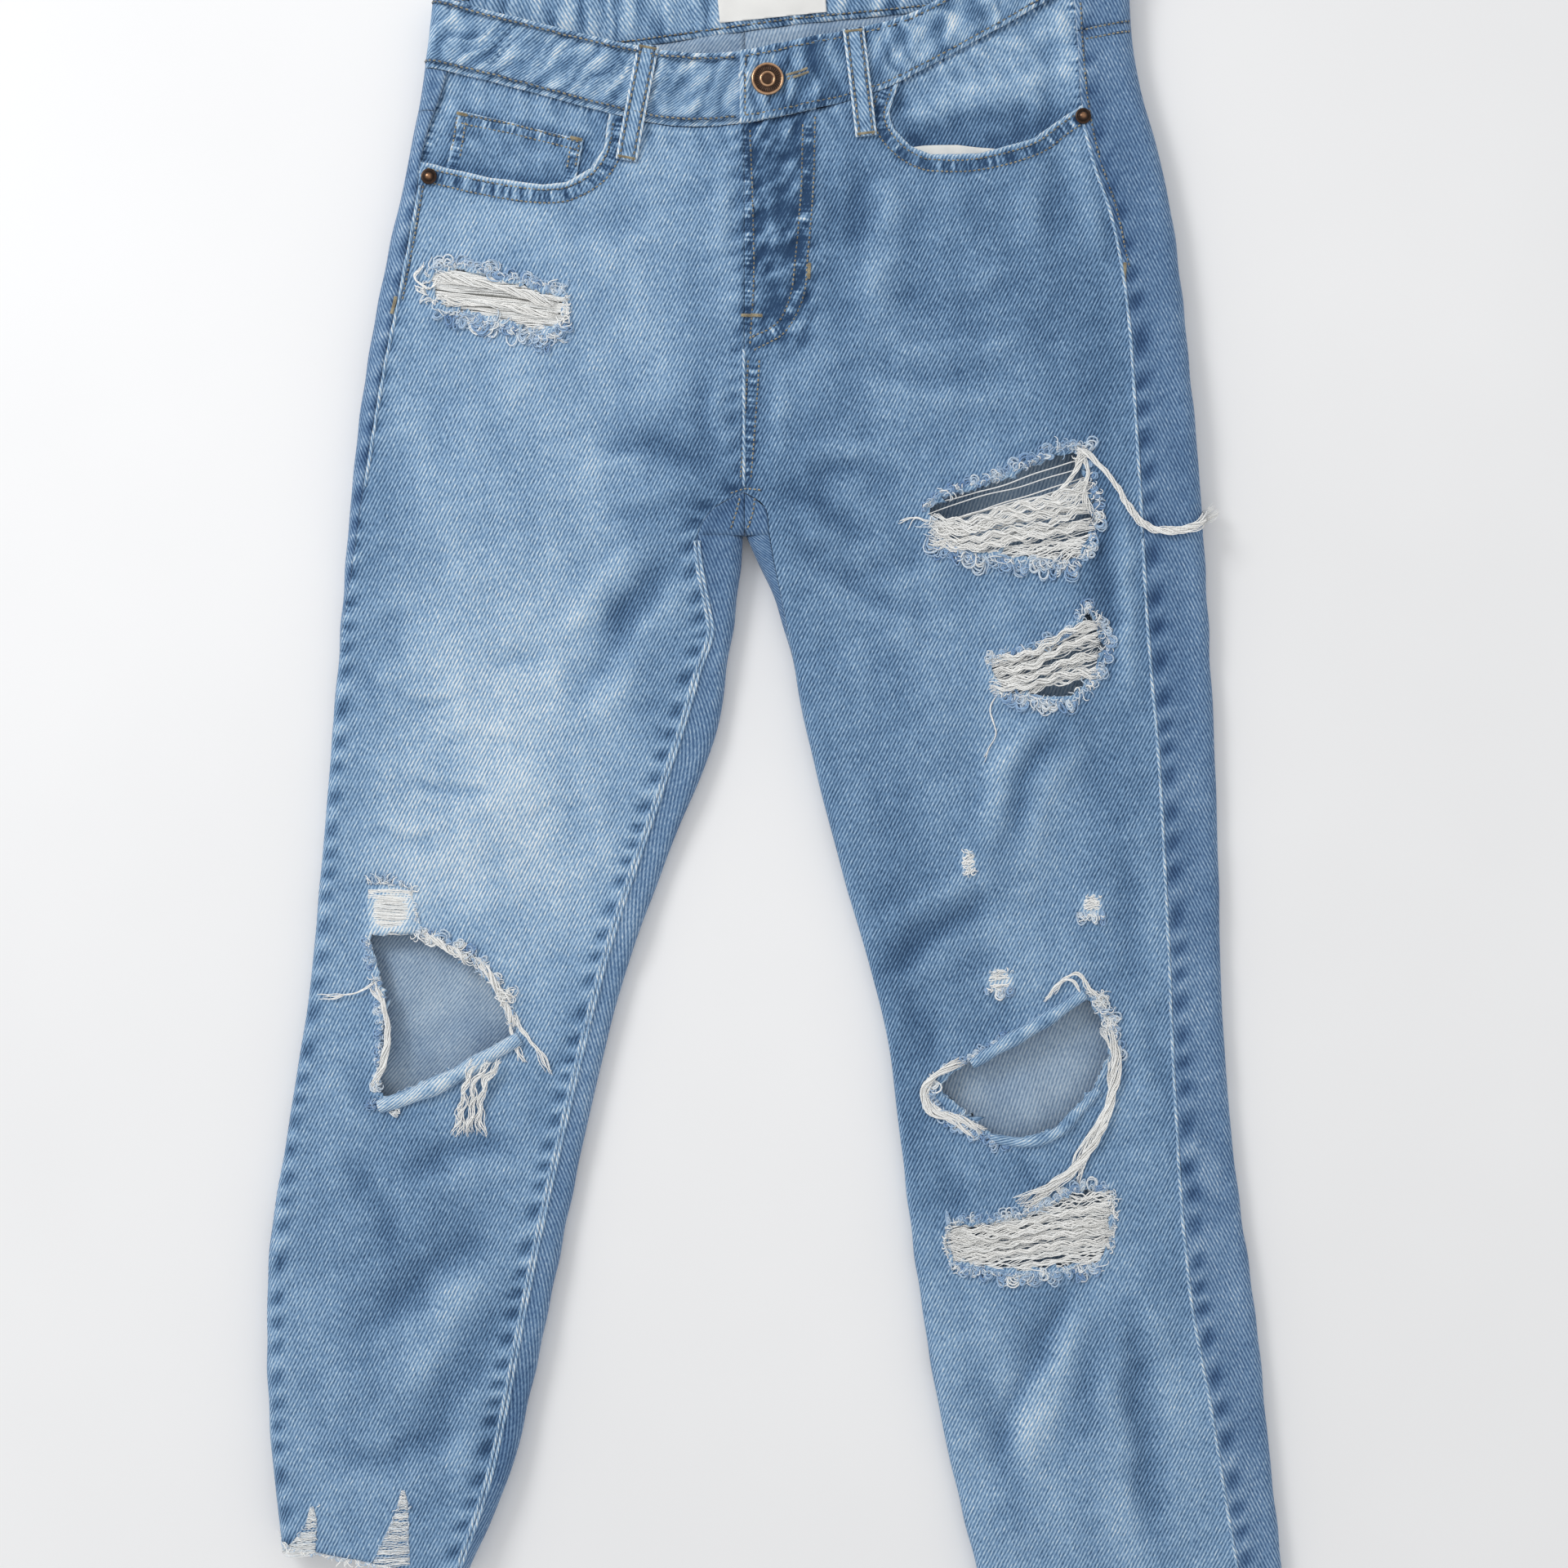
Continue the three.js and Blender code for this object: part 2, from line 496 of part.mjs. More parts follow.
// Back pockets, under the seat.
const backPocket = (x, y, side) => [[-68, 72 + 6 * side], [-62, -48], [0, -76], [62, -48],
  [68, 72 - 6 * side]].map(([dx, dy]) => [x + dx, y + dy]);
addPiece('back_pocket_right', flatPiece(backPocket(-112, 256, -0.6), 0, 1.5), denimDark);
addPiece('back_pocket_left', flatPiece(backPocket(84, 262, -1), 0, 1.5), denimDark);

// Label space on the inside of the band at the back, left blank.
addPiece('label', flatPiece([[-30, 403], [28, 409], [26, 431], [-32, 425]],
  hipLift + bandWall + layerGap, hipLift + bandWall + layerGap + 0.8), 0xf2f2f0);

// Hardware, turned shapes standing on the cloth.
function turned(profile, [x, y], z, segments) {
  const points = profile.map(([r, height]) => new THREE.Vector2(r, height));
  const geometry = new THREE.LatheGeometry(points, segments).rotateX(Math.PI / 2);
  return geometry.translate(x, y, z);
}

const tabTop = hipTop + layerGap + bandWall;
const buttonProfile = [[0, -bandWall], [shankRadius, -bandWall], [shankRadius, layerGap],
  [buttonRadius - 0.6, layerGap], [buttonRadius, 1], [buttonRadius, 2.2], [buttonRadius - 0.9, 3],
  [buttonRadius - 2, 2.3], [4, 2.2], [3.5, 2.7], [2.6, 2.6], [2, 1.9], [0, 1.9]];
addPiece('button', turned(buttonProfile, buttonCentre, tabTop, 20), copper, 0.4, 0.85);
const rivetProfile = [[0, 0], [rivetRadius, 0], [rivetRadius, 0.5], [3.1, 0.9], [2.6, 0.7], [1.7, 1.7],
  [0, 1.9]];
addPiece('rivet_right', turned(rivetProfile, [-186, 316.5], hipTop + layerGap, 12), copper, 0.45, 0.8);
addPiece('rivet_left', turned(rivetProfile, [165.5, 349], hipTop + layerGap, 12), copper, 0.45, 0.8);

export default jeans;
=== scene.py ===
# Ripped denim jeans lying on their back: cloth panels, stitching, worn holes and loose threads.
# Sizes are in millimetres and putMesh turns them into metres. +Y runs to the waist, +Z up off the table.
import bpy
import json
import math
import numpy as np
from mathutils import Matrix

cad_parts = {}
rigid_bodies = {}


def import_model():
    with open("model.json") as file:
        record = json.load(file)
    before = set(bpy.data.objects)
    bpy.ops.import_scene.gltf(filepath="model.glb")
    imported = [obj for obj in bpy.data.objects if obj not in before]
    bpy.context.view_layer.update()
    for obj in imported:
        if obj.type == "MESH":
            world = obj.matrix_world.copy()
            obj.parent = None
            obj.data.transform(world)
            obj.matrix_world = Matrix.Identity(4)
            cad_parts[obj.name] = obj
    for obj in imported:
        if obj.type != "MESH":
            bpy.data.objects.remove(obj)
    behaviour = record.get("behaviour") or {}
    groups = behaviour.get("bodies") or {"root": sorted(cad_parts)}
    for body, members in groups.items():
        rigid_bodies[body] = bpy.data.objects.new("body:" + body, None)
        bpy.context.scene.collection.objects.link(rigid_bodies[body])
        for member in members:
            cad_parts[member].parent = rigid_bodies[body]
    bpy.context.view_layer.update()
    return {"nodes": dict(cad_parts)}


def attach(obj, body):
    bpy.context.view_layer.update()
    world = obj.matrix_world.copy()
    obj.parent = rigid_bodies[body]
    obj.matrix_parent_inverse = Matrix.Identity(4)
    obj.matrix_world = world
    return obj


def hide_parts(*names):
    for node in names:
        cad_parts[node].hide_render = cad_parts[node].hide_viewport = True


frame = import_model()
pi = math.pi


# smooth line through (at, value) pairs: a cubic between neighbours, its slope from the points either side
def curve(pairs):
    at, val = np.array(pairs, float).T
    before, after = np.r_[0, 0:len(at) - 1], np.r_[1:len(at), len(at) - 1]
    slope = (val[after] - val[before]) / (at[after] - at[before])

    def value(x):
        x = np.clip(np.asarray(x, float), at[0], at[-1])
        i = np.clip(np.searchsorted(at, x) - 1, 0, len(at) - 2)
        span = at[i + 1] - at[i]
        t = (x - at[i]) / span
        return (val[i] * (2 * t**3 - 3 * t**2 + 1) + slope[i] * span * (t**3 - 2 * t**2 + t)
                + val[i + 1] * (3 * t**2 - 2 * t**3) + slope[i + 1] * span * (t**3 - t**2))
    return value


def smooth(x, low, high):  # 0 below low, 1 above high, eased between
    t = np.clip((x - low) / (high - low), 0, 1)
    return t * t * (3 - 2 * t)


def lerp(a, b, t):
    return a + (b - a) * t


# sum of plane waves near one length in seeded directions, about -1 to 1
def ripple(x, y, wave, seed, waves=12):
    rng = np.random.default_rng(seed)
    total = 0
    for turn, length, phase in zip(rng.uniform(0, 2 * pi, waves), wave * rng.uniform(0.6, 1.7, waves),
                                   rng.uniform(0, 2 * pi, waves)):
        total = total + np.sin((x * math.cos(turn) + y * math.sin(turn)) * 2 * pi / length + phase)
    return total / math.sqrt(waves)


# distance from each (x, y) to a line of points, the length along it there, and + on its left
def toLine(x, y, points):
    pts = np.array(points, float)
    best, along, side, run = np.full(np.shape(x), 1e9), np.zeros(np.shape(x)), np.ones(np.shape(x)), 0.0
    for (ax, ay), (bx, by) in zip(pts[:-1], pts[1:]):
        dx, dy = bx - ax, by - ay
        length = math.hypot(dx, dy)
        t = np.clip(((x - ax) * dx + (y - ay) * dy) / length**2, 0, 1)
        away = np.hypot(x - ax - t * dx, y - ay - t * dy)
        near = away < best
        best = np.where(near, away, best)
        along = np.where(near, run + t * length, along)
        side = np.where(near, np.where(dx * (y - ay) - dy * (x - ax) >= 0, 1.0, -1.0), side)
        run += length
    return best, along, side


# depth inside a closed outline: distance to its edge, + inside and - outside (odd count of edges crossed)
def insideBy(x, y, outline):
    pts = np.array(list(outline) + [outline[0]], float)
    away = toLine(x, y, pts)[0]
    inside = np.zeros(np.shape(x), bool)
    for (ax, ay), (bx, by) in zip(pts[:-1], pts[1:]):
        if ay != by:
            inside ^= ((ay > y) != (by > y)) & (x < ax + (y - ay) * (bx - ax) / (by - ay))
    return np.where(inside, away, -away)


# points a step apart along a smooth line through the given ones
def resample(points, step):
    pts = np.array(points, float)
    run = np.r_[0, np.cumsum(np.linalg.norm(np.diff(pts, axis=0), axis=1))]
    fine = np.linspace(0, run[-1], max(8, int(run[-1])))
    dense = np.stack([curve(np.c_[run, pts[:, k]])(fine) for k in range(pts.shape[1])], 1)
    run = np.r_[0, np.cumsum(np.linalg.norm(np.diff(dense, axis=0), axis=1))]
    want = np.linspace(0, run[-1], max(2, int(round(run[-1] / step)) + 1))
    return np.stack([np.interp(want, run, dense[:, k]) for k in range(dense.shape[1])], 1)


def unit(v):  # each vector over its own length
    return v / np.maximum(np.linalg.norm(v, axis=-1, keepdims=True), 1e-9)


def leftOf(way):  # flat directions turned a quarter turn to the left
    return np.stack([-way[:, 1], way[:, 0]], 1)


# the line moved sideways, + to its left
def beside(points, offset):
    pts = resample(points, 3)
    return pts + leftOf(unit(np.gradient(pts, axis=0))) * offset


def pile(*parts):  # numbers or arrays of like shape side by side as the last axis
    return np.stack(np.broadcast_arrays(*parts), -1)


def linear(red, green, blue):  # a screen colour, 0 to 255, as scene values
    c = np.array([red, green, blue]) / 255
    return tuple(np.where(c <= 0.04045, c / 12.92, ((c + 0.055) / 1.055) ** 2.4)) + (1.0,)


# the flattened body that all the cloth lies on: x at each y for the edges, and the height of each tube
body = dict(centreX=-16.5, crotchY=124.0, crossingY=147.0, hipY=275.0, hipHeight=16.0, hipLift=2.0,
            hipTop=18.0,
            gap=0.12, cloth=1.1, band=1.9)
centreX, crotchY, crossingY, hipY = (body[key] for key in ("centreX", "crotchY", "crossingY", "hipY"))
gap = body["gap"]
outerRight = curve([(-440, -264), (-375, -272), (-329, -275), (-263, -274), (-197, -264), (-118, -252),
                    (41, -238),
                    (146, -229), (226, -219), (358, -192), (420, -184)])
outerLeft = curve([(-463, 278), (-382, 269), (-302, 261), (-223, 250), (-144, 243), (14, 238), (173, 228),
                   (305, 213),
                   (384, 194), (462, 191)])
innerRight = curve([(-441, -168), (-382, -143), (-329, -130), (-223, -108), (-144, -90), (-91, -74),
                    (-38, -54),
                    (14, -33), (60, -25), (94, -20), (124, -17)])
innerLeft = curve([(-463, 116), (-355, 90), (-276, 77), (-197, 67), (-144, 60), (-38, 31), (14, 18), (67, 7),
                   (94, -2), (124, -16)])
heightRight = curve([(-440, 20), (-330, 15), (-200, 12), (60, 12.5), (124, 16)])
heightLeft = curve([(-463, 12), (60, 12.5), (124, 16)])
lift = curve([(60, 0), (150, 2)])

# waist seams: y at each x, on the upper side and on the underside
bandBottomFront = curve([(-188, 376), (-154, 368), (-82, 349), (-53, 344), (-19, 345), (8, 350), (51, 361),
                         (81, 375),
                         (125, 399), (160, 417), (193, 421)])
bandTopFront = curve([(-185, 415), (-154, 406), (-74, 387), (-44, 383), (-19, 384), (8, 389), (66, 402),
                      (88, 412),
                      (124, 432), (159, 456), (192, 463.2)])
bandBottomBack = curve([(-188, 376), (-79, 390), (5, 402), (66, 408), (193, 421)])
bandTopBack = curve([(-185, 415), (-140, 426), (-40, 432), (34, 439), (110, 451), (192, 463.2)])
yokeLine = curve([(-188, 353), (-100, 343), (-16.5, 334), (90, 362), (165, 396), (193, 401)])

# leg seams: length round the section at each y
pastOuterRight = curve([(-440, -15), (-40, -15), (40, -9), (104, -3), (189, 1), (242, 3), (298, 2), (337, 0),
                        (372, 5), (420, 7)])
pastInnerLeft = curve([(-463, -14), (20, -14), (50, -11), (80, -5), (106, 0), (124, 5)])
outseamLeft = curve([(-463, 255), (-396, 244), (-342, 235), (-286, 225), (-204, 218), (-95, 213), (-1, 208),
                     (98, 200),
                     (228, 192), (263, 188), (294, 182), (324, 172), (355, 165), (399, 162), (439, 157)])
inseamPoints = [(-440, -173), (-379, -153), (-274, -132), (-214, -119), (-104, -92), (-28, -67), (19, -51),
                (50, -42),
                (71, -35), (87, -37), (109, -41), (126, -41), (140, -31), (147, -16.5)]
inseamRightOnTop = curve(inseamPoints)
inseamLeftOnTop = curve([(124, -3), (140, -6), (147, -16.5)])


# a stadium between two edges: flat top and underside, half circles at the sides
def section(low, high, height, y):
    r = height / 2
    flat = high - low - height
    return dict(low=low + r, high=high - r, r=r, flat=flat, around=2 * flat + 2 * pi * r, base=lift(y))


def hip(y):
    return section(outerRight(y), outerLeft(y), body["hipHeight"] + 0 * y, y)


def legRight(y):
    return section(outerRight(y), innerRight(y), heightRight(y), y)


def legLeft(y):
    return section(innerLeft(y), outerLeft(y), heightLeft(y), y)


def outseamRight(y):
    return outerRight(y) + np.where(y >= crotchY, body["hipHeight"], heightRight(y)) / 2 + pastOuterRight(y)


def inseamLeft(y):
    return innerLeft(y) + heightLeft(y) / 2 + pastInnerLeft(y)


# the point at s round the section at y, and the way out of the cloth there. On top s is x, then it runs over
# the +X edge, back underneath and over the -X edge. Above the crotch the height closes to nothing at the fold
def onBody(sectionAt, y, s):
    ring = sectionAt(y)
    r, flat = ring["r"], ring["flat"]
    arc = pi * r
    t = np.mod(s - ring["low"], ring["around"])
    right, left = (t - flat) / r, (t - 2 * flat - arc) / r
    where = [t <= flat, t < flat + arc, t <= 2 * flat + arc]
    x = np.select(where, [ring["low"] + t, ring["high"] + r * np.sin(right), ring["high"] - (t - flat - arc)],
                  ring["low"] - r * np.sin(left))
    z = np.select(where, [2 * r + 0 * t, r + r * np.cos(right), 0 * t], r - r * np.cos(left))
    nx = np.select(where, [0 * t, np.sin(right), 0 * t], -np.sin(left))
    nz = np.select(where, [1 + 0 * t, np.cos(right), -1 + 0 * t], -np.cos(left))
    near = np.clip(np.hypot(x - centreX, y - crotchY) / r, 0, 1)
    shrink = np.where(y >= crotchY, np.sqrt(1 - (1 - near)**2), 1)
    z = ring["base"] + r + (z - r) * shrink
    return np.stack([x, y + 0 * x, z], -1), np.stack([nx, 0 * x, nz], -1)


# a seam line that is `back` on the underside and `front` on the upper side
def turning(back, front):
    return lambda p: lerp(back(p[..., 0]), front(p[..., 0]),
                          np.clip((p[..., 2] - body["hipLift"]) / body["hipHeight"], 0, 1))


bandBottom = turning(bandBottomBack, bandBottomFront)
bandTop = turning(bandTopBack, bandTopFront)

# rips through the fronts, and the pocket mouths cut from the waist down
rips = dict(
    hip=[(-185, 264), (-167, 267), (-136, 258), (-114, 252), (-114, 240), (-124, 233), (-154, 241),
         (-180, 247)],
    kneeRight=[(-220, -91), (-193, -91), (-165, -103), (-150, -122), (-138, -146), (-206, -179), (-214, -176),
               (-211, -124)],
    thigh=[(82, 137), (90, 144), (124, 155), (154, 169), (165, 167), (169, 148), (170, 126), (163, 110),
           (120, 112),
           (92, 119)],
    lowerThigh=[(116, 56), (154, 67), (171, 84), (177, 65), (172, 50), (158, 36), (122, 39)],
    kneeLeft=[(87, -173), (100, -163), (126, -149), (167, -124), (177, -139), (182, -153), (172, -174),
              (152, -196),
              (138, -200), (122, -203), (108, -192)],
    shin=[(94, -248), (124, -246), (146, -239), (163, -229), (180, -229), (181, -260), (174, -269),
          (130, -273),
          (95, -267)])
nicks = [(104, -52, 3.2, 6), (171, -76, 5, 6), (121, -116, 6.5, 5.5), (-208, -79, 11, 11)]  # x, y, half sizes
mouthRight = [(-89, 349), (-92, 332), (-99, 321), (-112, 313.5), (-125, 312), (-153, 316), (-193, 325)]
mouthLeft = [(66, 366), (61, 350), (64, 342), (73, 333), (84, 328.5), (110, 329), (139, 337), (154, 348),
             (168, 357)]

# how the upper layer lies: (points, rise, width) of soft ridges and troughs, the seams that pull it into
# puckers, and where the dye has faded or kept its colour (x, y, radius across, radius up, amount); the two dark
# spots at x 44 beside the fly are painted shade of the fold there
drape = dict(
    folds=[([(150, 30), (112, -60)], 2.6, 18), ([(176, 10), (150, -70)], -1.8, 14),
           ([(166, -275), (112, -385)], -2.4, 17), ([(196, -300), (165, -400)], 1.8, 18),
           ([(-70, 60), (-150, -30)], 1.6, 20), ([(-190, -250), (-160, -330)], 2.0, 18)],
    creases=[([(-208, 38), (-188, 33), (-170, 31)], -0.9, 3.0),
             ([(-198, -8), (-175, -14), (-152, -16)], -1.0, 3.2),
             ([(-224, -32), (-200, -40), (-178, -41)], -0.9, 3.4),
             ([(-186, 10), (-160, 16), (-130, 8)], -0.6, 4),
             ([(-140, -30), (-118, -22), (-100, -26)], -0.5, 4),
             ([(-46, 128), (-78, 84), (-112, 20)], -1.3, 8),
             ([(-62, 132), (-98, 92), (-130, 40)], 1.1, 10), ([(-60, 96), (-120, 60), (-170, 52)], -0.8, 7),
             ([(-132, -203), (-170, -206), (-206, -222)], -1.2, 7),
             ([(-150, -247), (-190, -275), (-232, -313)], -1.5, 9),
             ([(-140, -262), (-176, -300), (-210, -352)], 1.4, 11),
             ([(-160, -345), (-205, -372), (-250, -372)], -1.0, 8),
             ([(-130, -300), (-160, -345), (-176, -400)], 0.9, 9),
             ([(-236, -210), (-214, -236), (-206, -270)], -0.9, 6),
             ([(4, 128), (30, 104), (68, 78)], -1.4, 6), ([(10, 116), (40, 92), (80, 60)], 1.0, 8),
             ([(2, 150), (40, 160), (78, 148)], -0.7, 7), ([(150, 34), (122, 0), (112, -48)], 1.5, 7),
             ([(160, 28), (134, -8), (124, -56)], -1.3, 7), ([(176, 150), (178, 100), (182, 34)], -1.7, 6),
             ([(186, 140), (190, 90), (190, 20)], 0.9, 7), ([(128, -66), (92, -86), (50, -116)], -1.2, 7),
             ([(120, -52), (86, -70), (48, -96)], 0.9, 8), ([(165, -273), (140, -320), (114, -384)], -1.8, 6),
             ([(176, -280), (152, -330), (132, -390)], 1.5, 9),
             ([(212, -203), (226, -226), (243, -243)], -0.9, 4),
             ([(220, -196), (236, -214), (246, -232)], 0.7, 4),
             ([(190, -274), (198, -350), (208, -424)], -1.4, 8),
             ([(176, -300), (186, -380), (192, -440)], 1.0, 8),
             ([(100, -300), (118, -360), (140, -430)], -0.9, 9),
             ([(90, 240), (66, 262), (40, 300)], -0.6, 9), ([(60, 226), (48, 250), (36, 290)], 0.7, 8),
             ([(-40, 150), (-70, 176), (-110, 186)], -0.6, 8), ([(-24, 160), (-30, 190), (-28, 220)], 0.9, 5),
             ([(0, 150), (2, 190), (6, 224)], 0.8, 5), ([(36, 260), (80, 246), (140, 258)], -0.6, 7),
             ([(36, 236), (80, 222), (150, 228)], 0.7, 6), ([(36, 210), (90, 196), (150, 204)], 0.7, 6),
             ([(-60, 300), (-90, 290), (-130, 296)], -0.5, 8),
             ([(-50, 270), (-80, 262), (-104, 264)], 0.35, 8),
             ([(47, 332), (42, 290), (35, 246)], -1.5, 8),
             ([(64, 320), (59, 280), (50, 236)], 0.9, 9), ([(152, 338), (151, 310), (158, 280)], -0.8, 7),
             ([(140, 332), (137, 300), (142, 270)], 0.6, 8), ([(166, 330), (172, 300), (176, 264)], 0.8, 5),
             ([(-30, 160), (-62, 172), (-104, 168)], -0.9, 6), ([(-28, 150), (-56, 150), (-92, 140)], 0.8, 6),
             ([(-4, 152), (22, 142), (56, 120)], -1.1, 6), ([(2, 162), (34, 172), (70, 170)], 0.6, 7),
             ([(-24, 338), (-30, 300), (-28, 262)], 0.7, 5), ([(24, 336), (30, 300), (28, 250)], -0.9, 5),
             ([(-232, 60), (-214, 40), (-196, 38)], -0.6, 5),
             ([(-240, -60), (-224, -66), (-204, -58)], -0.7, 5),
             ([(-100, -130), (-122, -170), (-130, -206)], -0.8, 7),
             ([(-246, -160), (-226, -190), (-214, -206)], 0.7, 7),
             ([(86, -206), (96, -226), (98, -246)], -0.8, 6), ([(72, -120), (84, -150), (86, -170)], -0.7, 7),
             ([(190, -120), (196, -160), (206, -196)], 0.8, 7),
             ([(184, -40), (192, -90), (196, -130)], -0.8, 7),
             ([(130, -205), (140, -226), (160, -232)], -0.7, 5), ([(90, 120), (60, 104), (30, 98)], -0.6, 6)],
    spots=[(-150, 28, 52, 74, 0.16), (-120, 214, 62, 44, 0.05), (-148, 290, 40, 16, 0.10),
           (-186, -52, 30, 30, 0.16),
           (-120, -60, 40, 50, 0.10), (-196, -250, 50, 60, -0.16), (-170, -360, 60, 60, -0.12),
           (-216, 100, 14, 90, -0.10), (-60, 60, 22, 60, -0.08), (-40, 210, 22, 80, -0.06),
           (-95, 150, 30, 26, 0.04),
           (-150, 0, 80, 170, 0.07), (110, 60, 110, 300, -0.17), (-46, 156, 36, 40, -0.18),
           (18, 152, 32, 34, -0.14),
           (120, 270, 70, 60, -0.10), (-190, -160, 60, 60, -0.05), (-120, 330, 60, 16, 0.08),
           # painted shadow of the deep fold beside the fly
           (44, 280, 12, 60, -0.10),
           (170, 100, 20, 110, -0.10), (76, -60, 30, 60, -0.06), (150, -310, 30, 60, -0.08),
           (90, -340, 30, 60, 0.06),
           (110, 70, 52, 90, 0.14), (84, 262, 46, 34, 0.06), (90, 190, 44, 30, 0.05),
           # painted shadow of the deep fold beside the fly
           (44, 300, 16, 40, -0.10),
           (128, -40, 44, 60, 0.11), (20, 70, 14, 60, -0.06), (150, -110, 36, 40, 0.08),
           (70, -130, 26, 60, -0.10),
           (100, -230, 46, 40, -0.06), (120, -350, 60, 90, 0.04), (-60, 240, 30, 60, 0.05),
           (200, -330, 26, 110, -0.04), (188, -60, 16, 90, -0.06),
           (176, 220, 16, 90, -0.08), (2, 290, 14, 60, -0.12), (-10, 200, 14, 40, -0.02)],
    seams=[dict(line=[(157, 439), (162, 399), (165, 355), (172, 324), (182, 294), (188, 263), (192, 228),
                      (194, 175),
                      (200, 98), (208, -1), (213, -95), (218, -204), (225, -286), (235, -342), (244, -396),
                      (255, -463)],
                wave=17, wide=4, rise=0.9, shift=5, dark=0.28, ridge=1.0),
           dict(line=[(x, y) for y, x in inseamPoints], wave=13, wide=4, rise=0.8, shift=5, dark=0.28,
                ridge=1.0),
           dict(line=[(-262, -440), (-272, -375), (-273, -290), (-265, -197), (-250, -110), (-237, 41),
                      (-228, 146),
                      (-212, 226), (-199, 300), (-192, 330)], wave=15, wide=4, rise=0.7, shift=-4, dark=0.26,
                ridge=0.2),
           dict(line=[(-16.5, 147), (-20, 180), (-17, 222), (-15, 288), (-18, 345)], wave=11, wide=5,
                rise=0.7,
                shift=3, dark=0.14, ridge=0.7),
           dict(line=[(15, 346), (14, 310), (11, 274), (8, 249), (0, 236), (-17, 230)], wave=12, wide=5,
                rise=0.55,
                shift=0, dark=0.14, ridge=0.0),
           dict(line=mouthRight, wave=9, wide=3.5, rise=0.55, shift=6, dark=0.26, ridge=1.1),
           dict(line=mouthLeft, wave=10, wide=3.5, rise=0.5, shift=-6, dark=0.22, ridge=1.1),
           dict(line=[(-188, 372), (-154, 364), (-82, 345), (-53, 340), (-19, 341), (8, 346), (51, 357),
                      (81, 371),
                      (125, 395), (160, 413)], wave=13, wide=7, rise=0.5, shift=-3, dark=0.12, ridge=0.0)])


# rows of topstitching on the fronts: each sits in a shallow groove that keeps its dye
flyEdge = [(-13.5, 342), (-12, 300), (-11.5, 262), (-13.5, 226)]
jInner = [(15, 345), (14, 310), (11, 274), (8, 252), (1, 238), (-13, 230)]
jOuter = [(21.5, 349), (20.5, 310), (17.5, 274), (15.5, 254), (6, 234), (-12, 223)]
crotchRows = [[(-14.5, 218), (-15.5, 201), (-18.5, 154)], [(-8.5, 218), (-9.5, 201), (-13, 154)]]
mouthRows = [beside(mouthRight, 2.4), beside(mouthRight, 9.5), beside(mouthLeft, -2.4),
             beside(mouthLeft, -8.5)]
grooves = [flyEdge, jInner, jOuter, *crotchRows] + [row[::4] for row in mouthRows]


# creases with soft ends, seam puckers running with the seam, and slow ripples; returns height and fadeAndShade, the
# dye's fading with painted shade of the creases in it
def relief(x, y):
    height = 0.55 * ripple(x, y, 62, 3) + 0.34 * ripple(x, y, 26, 5) + 0.13 * ripple(x, y, 10, 7)
    fadeAndShade = 0.022 * ripple(x, y, 26, 5) + 0.020 * ripple(x, y, 10, 7) + 0.025 * ripple(x, y * 0.6, 40, 11)
    fly = smooth(x, -22, -12) * smooth(-x, -26, -16) * smooth(y, 214, 236)  # the stiff fly lies most crumpled
    crumple = ripple(x * 1.3 - 0.25 * y, y * 0.9, 15, 13) + 0.7 * ripple(x * 1.2 - 0.2 * y, y, 7.5, 19)
    height = height + 0.75 * fly * crumple
    fadeAndShade = fadeAndShade + fly * (0.23 * crumple - 0.17 - 0.06 * smooth(y, 240, 320))
    for line, rise, width in drape["folds"]:
        away = toLine(x, y, line)[0] / width
        height = height + rise * np.exp(-away**2)
    for line, rise, width in drape["creases"]:
        away, along, side = toLine(x, y, line)
        run = np.linalg.norm(np.diff(np.array(line, float), axis=0), axis=1).sum()
        ends = smooth(along, -0.01, 0.3 * run) * smooth(run - along, -0.01, 0.3 * run)
        away = (away * side + 1.5 * ripple(x, y, 30, 17)) / width
        trough = np.exp(-away**2)
        shoulder = np.exp(-(away - 1.7)**2)  # the cloth stands up beside a crease
        height = height + 1.7 * ends * rise * (trough - 0.45 * shoulder)
        # painted shade: a crease's centre darker for a trough and paler for a ridge, its shoulders the other way;
        # partly worn whiskers too
        fadeAndShade = fadeAndShade + ends * np.sign(rise) * min(abs(rise), 1.2) * (0.11 * trough - 0.075 * shoulder)
    for k, seam in enumerate(drape["seams"]):
        away, along, side = toLine(x, y, seam["line"])
        off = away * side
        wander = 3.5 * np.sin(along / 23 + k) + 2.5 * np.sin(along / 9.7 + 2 * k)
        beat = np.sin(2 * pi * (along + wander + 0.35 * off) / seam["wave"] + k)
        near = np.exp(-((off - seam["shift"]) / seam["wide"])**2)
        tight = np.exp(-(away / 9)**2)
        height = height + seam["rise"] * beat * near + seam["ridge"] * np.exp(-(away / 2.4)**2)
        fadeAndShade = fadeAndShade + seam["dark"] * (beat * 0.8 - 0.35) * near + 0.10 * np.exp(-(away / 1.5)**2) - 0.03 * tight
    for row in grooves:
        groove = np.exp(-(toLine(x, y, row)[0] / 1.5)**2)
        height = height - 0.3 * groove
        fadeAndShade = fadeAndShade - 0.13 * groove
    for cx, cy, rx, ry, amount in drape["spots"]:
        fadeAndShade = fadeAndShade + amount * np.exp(-((x - cx) / rx)**2 - ((y - cy) / ry)**2)
    return height, fadeAndShade


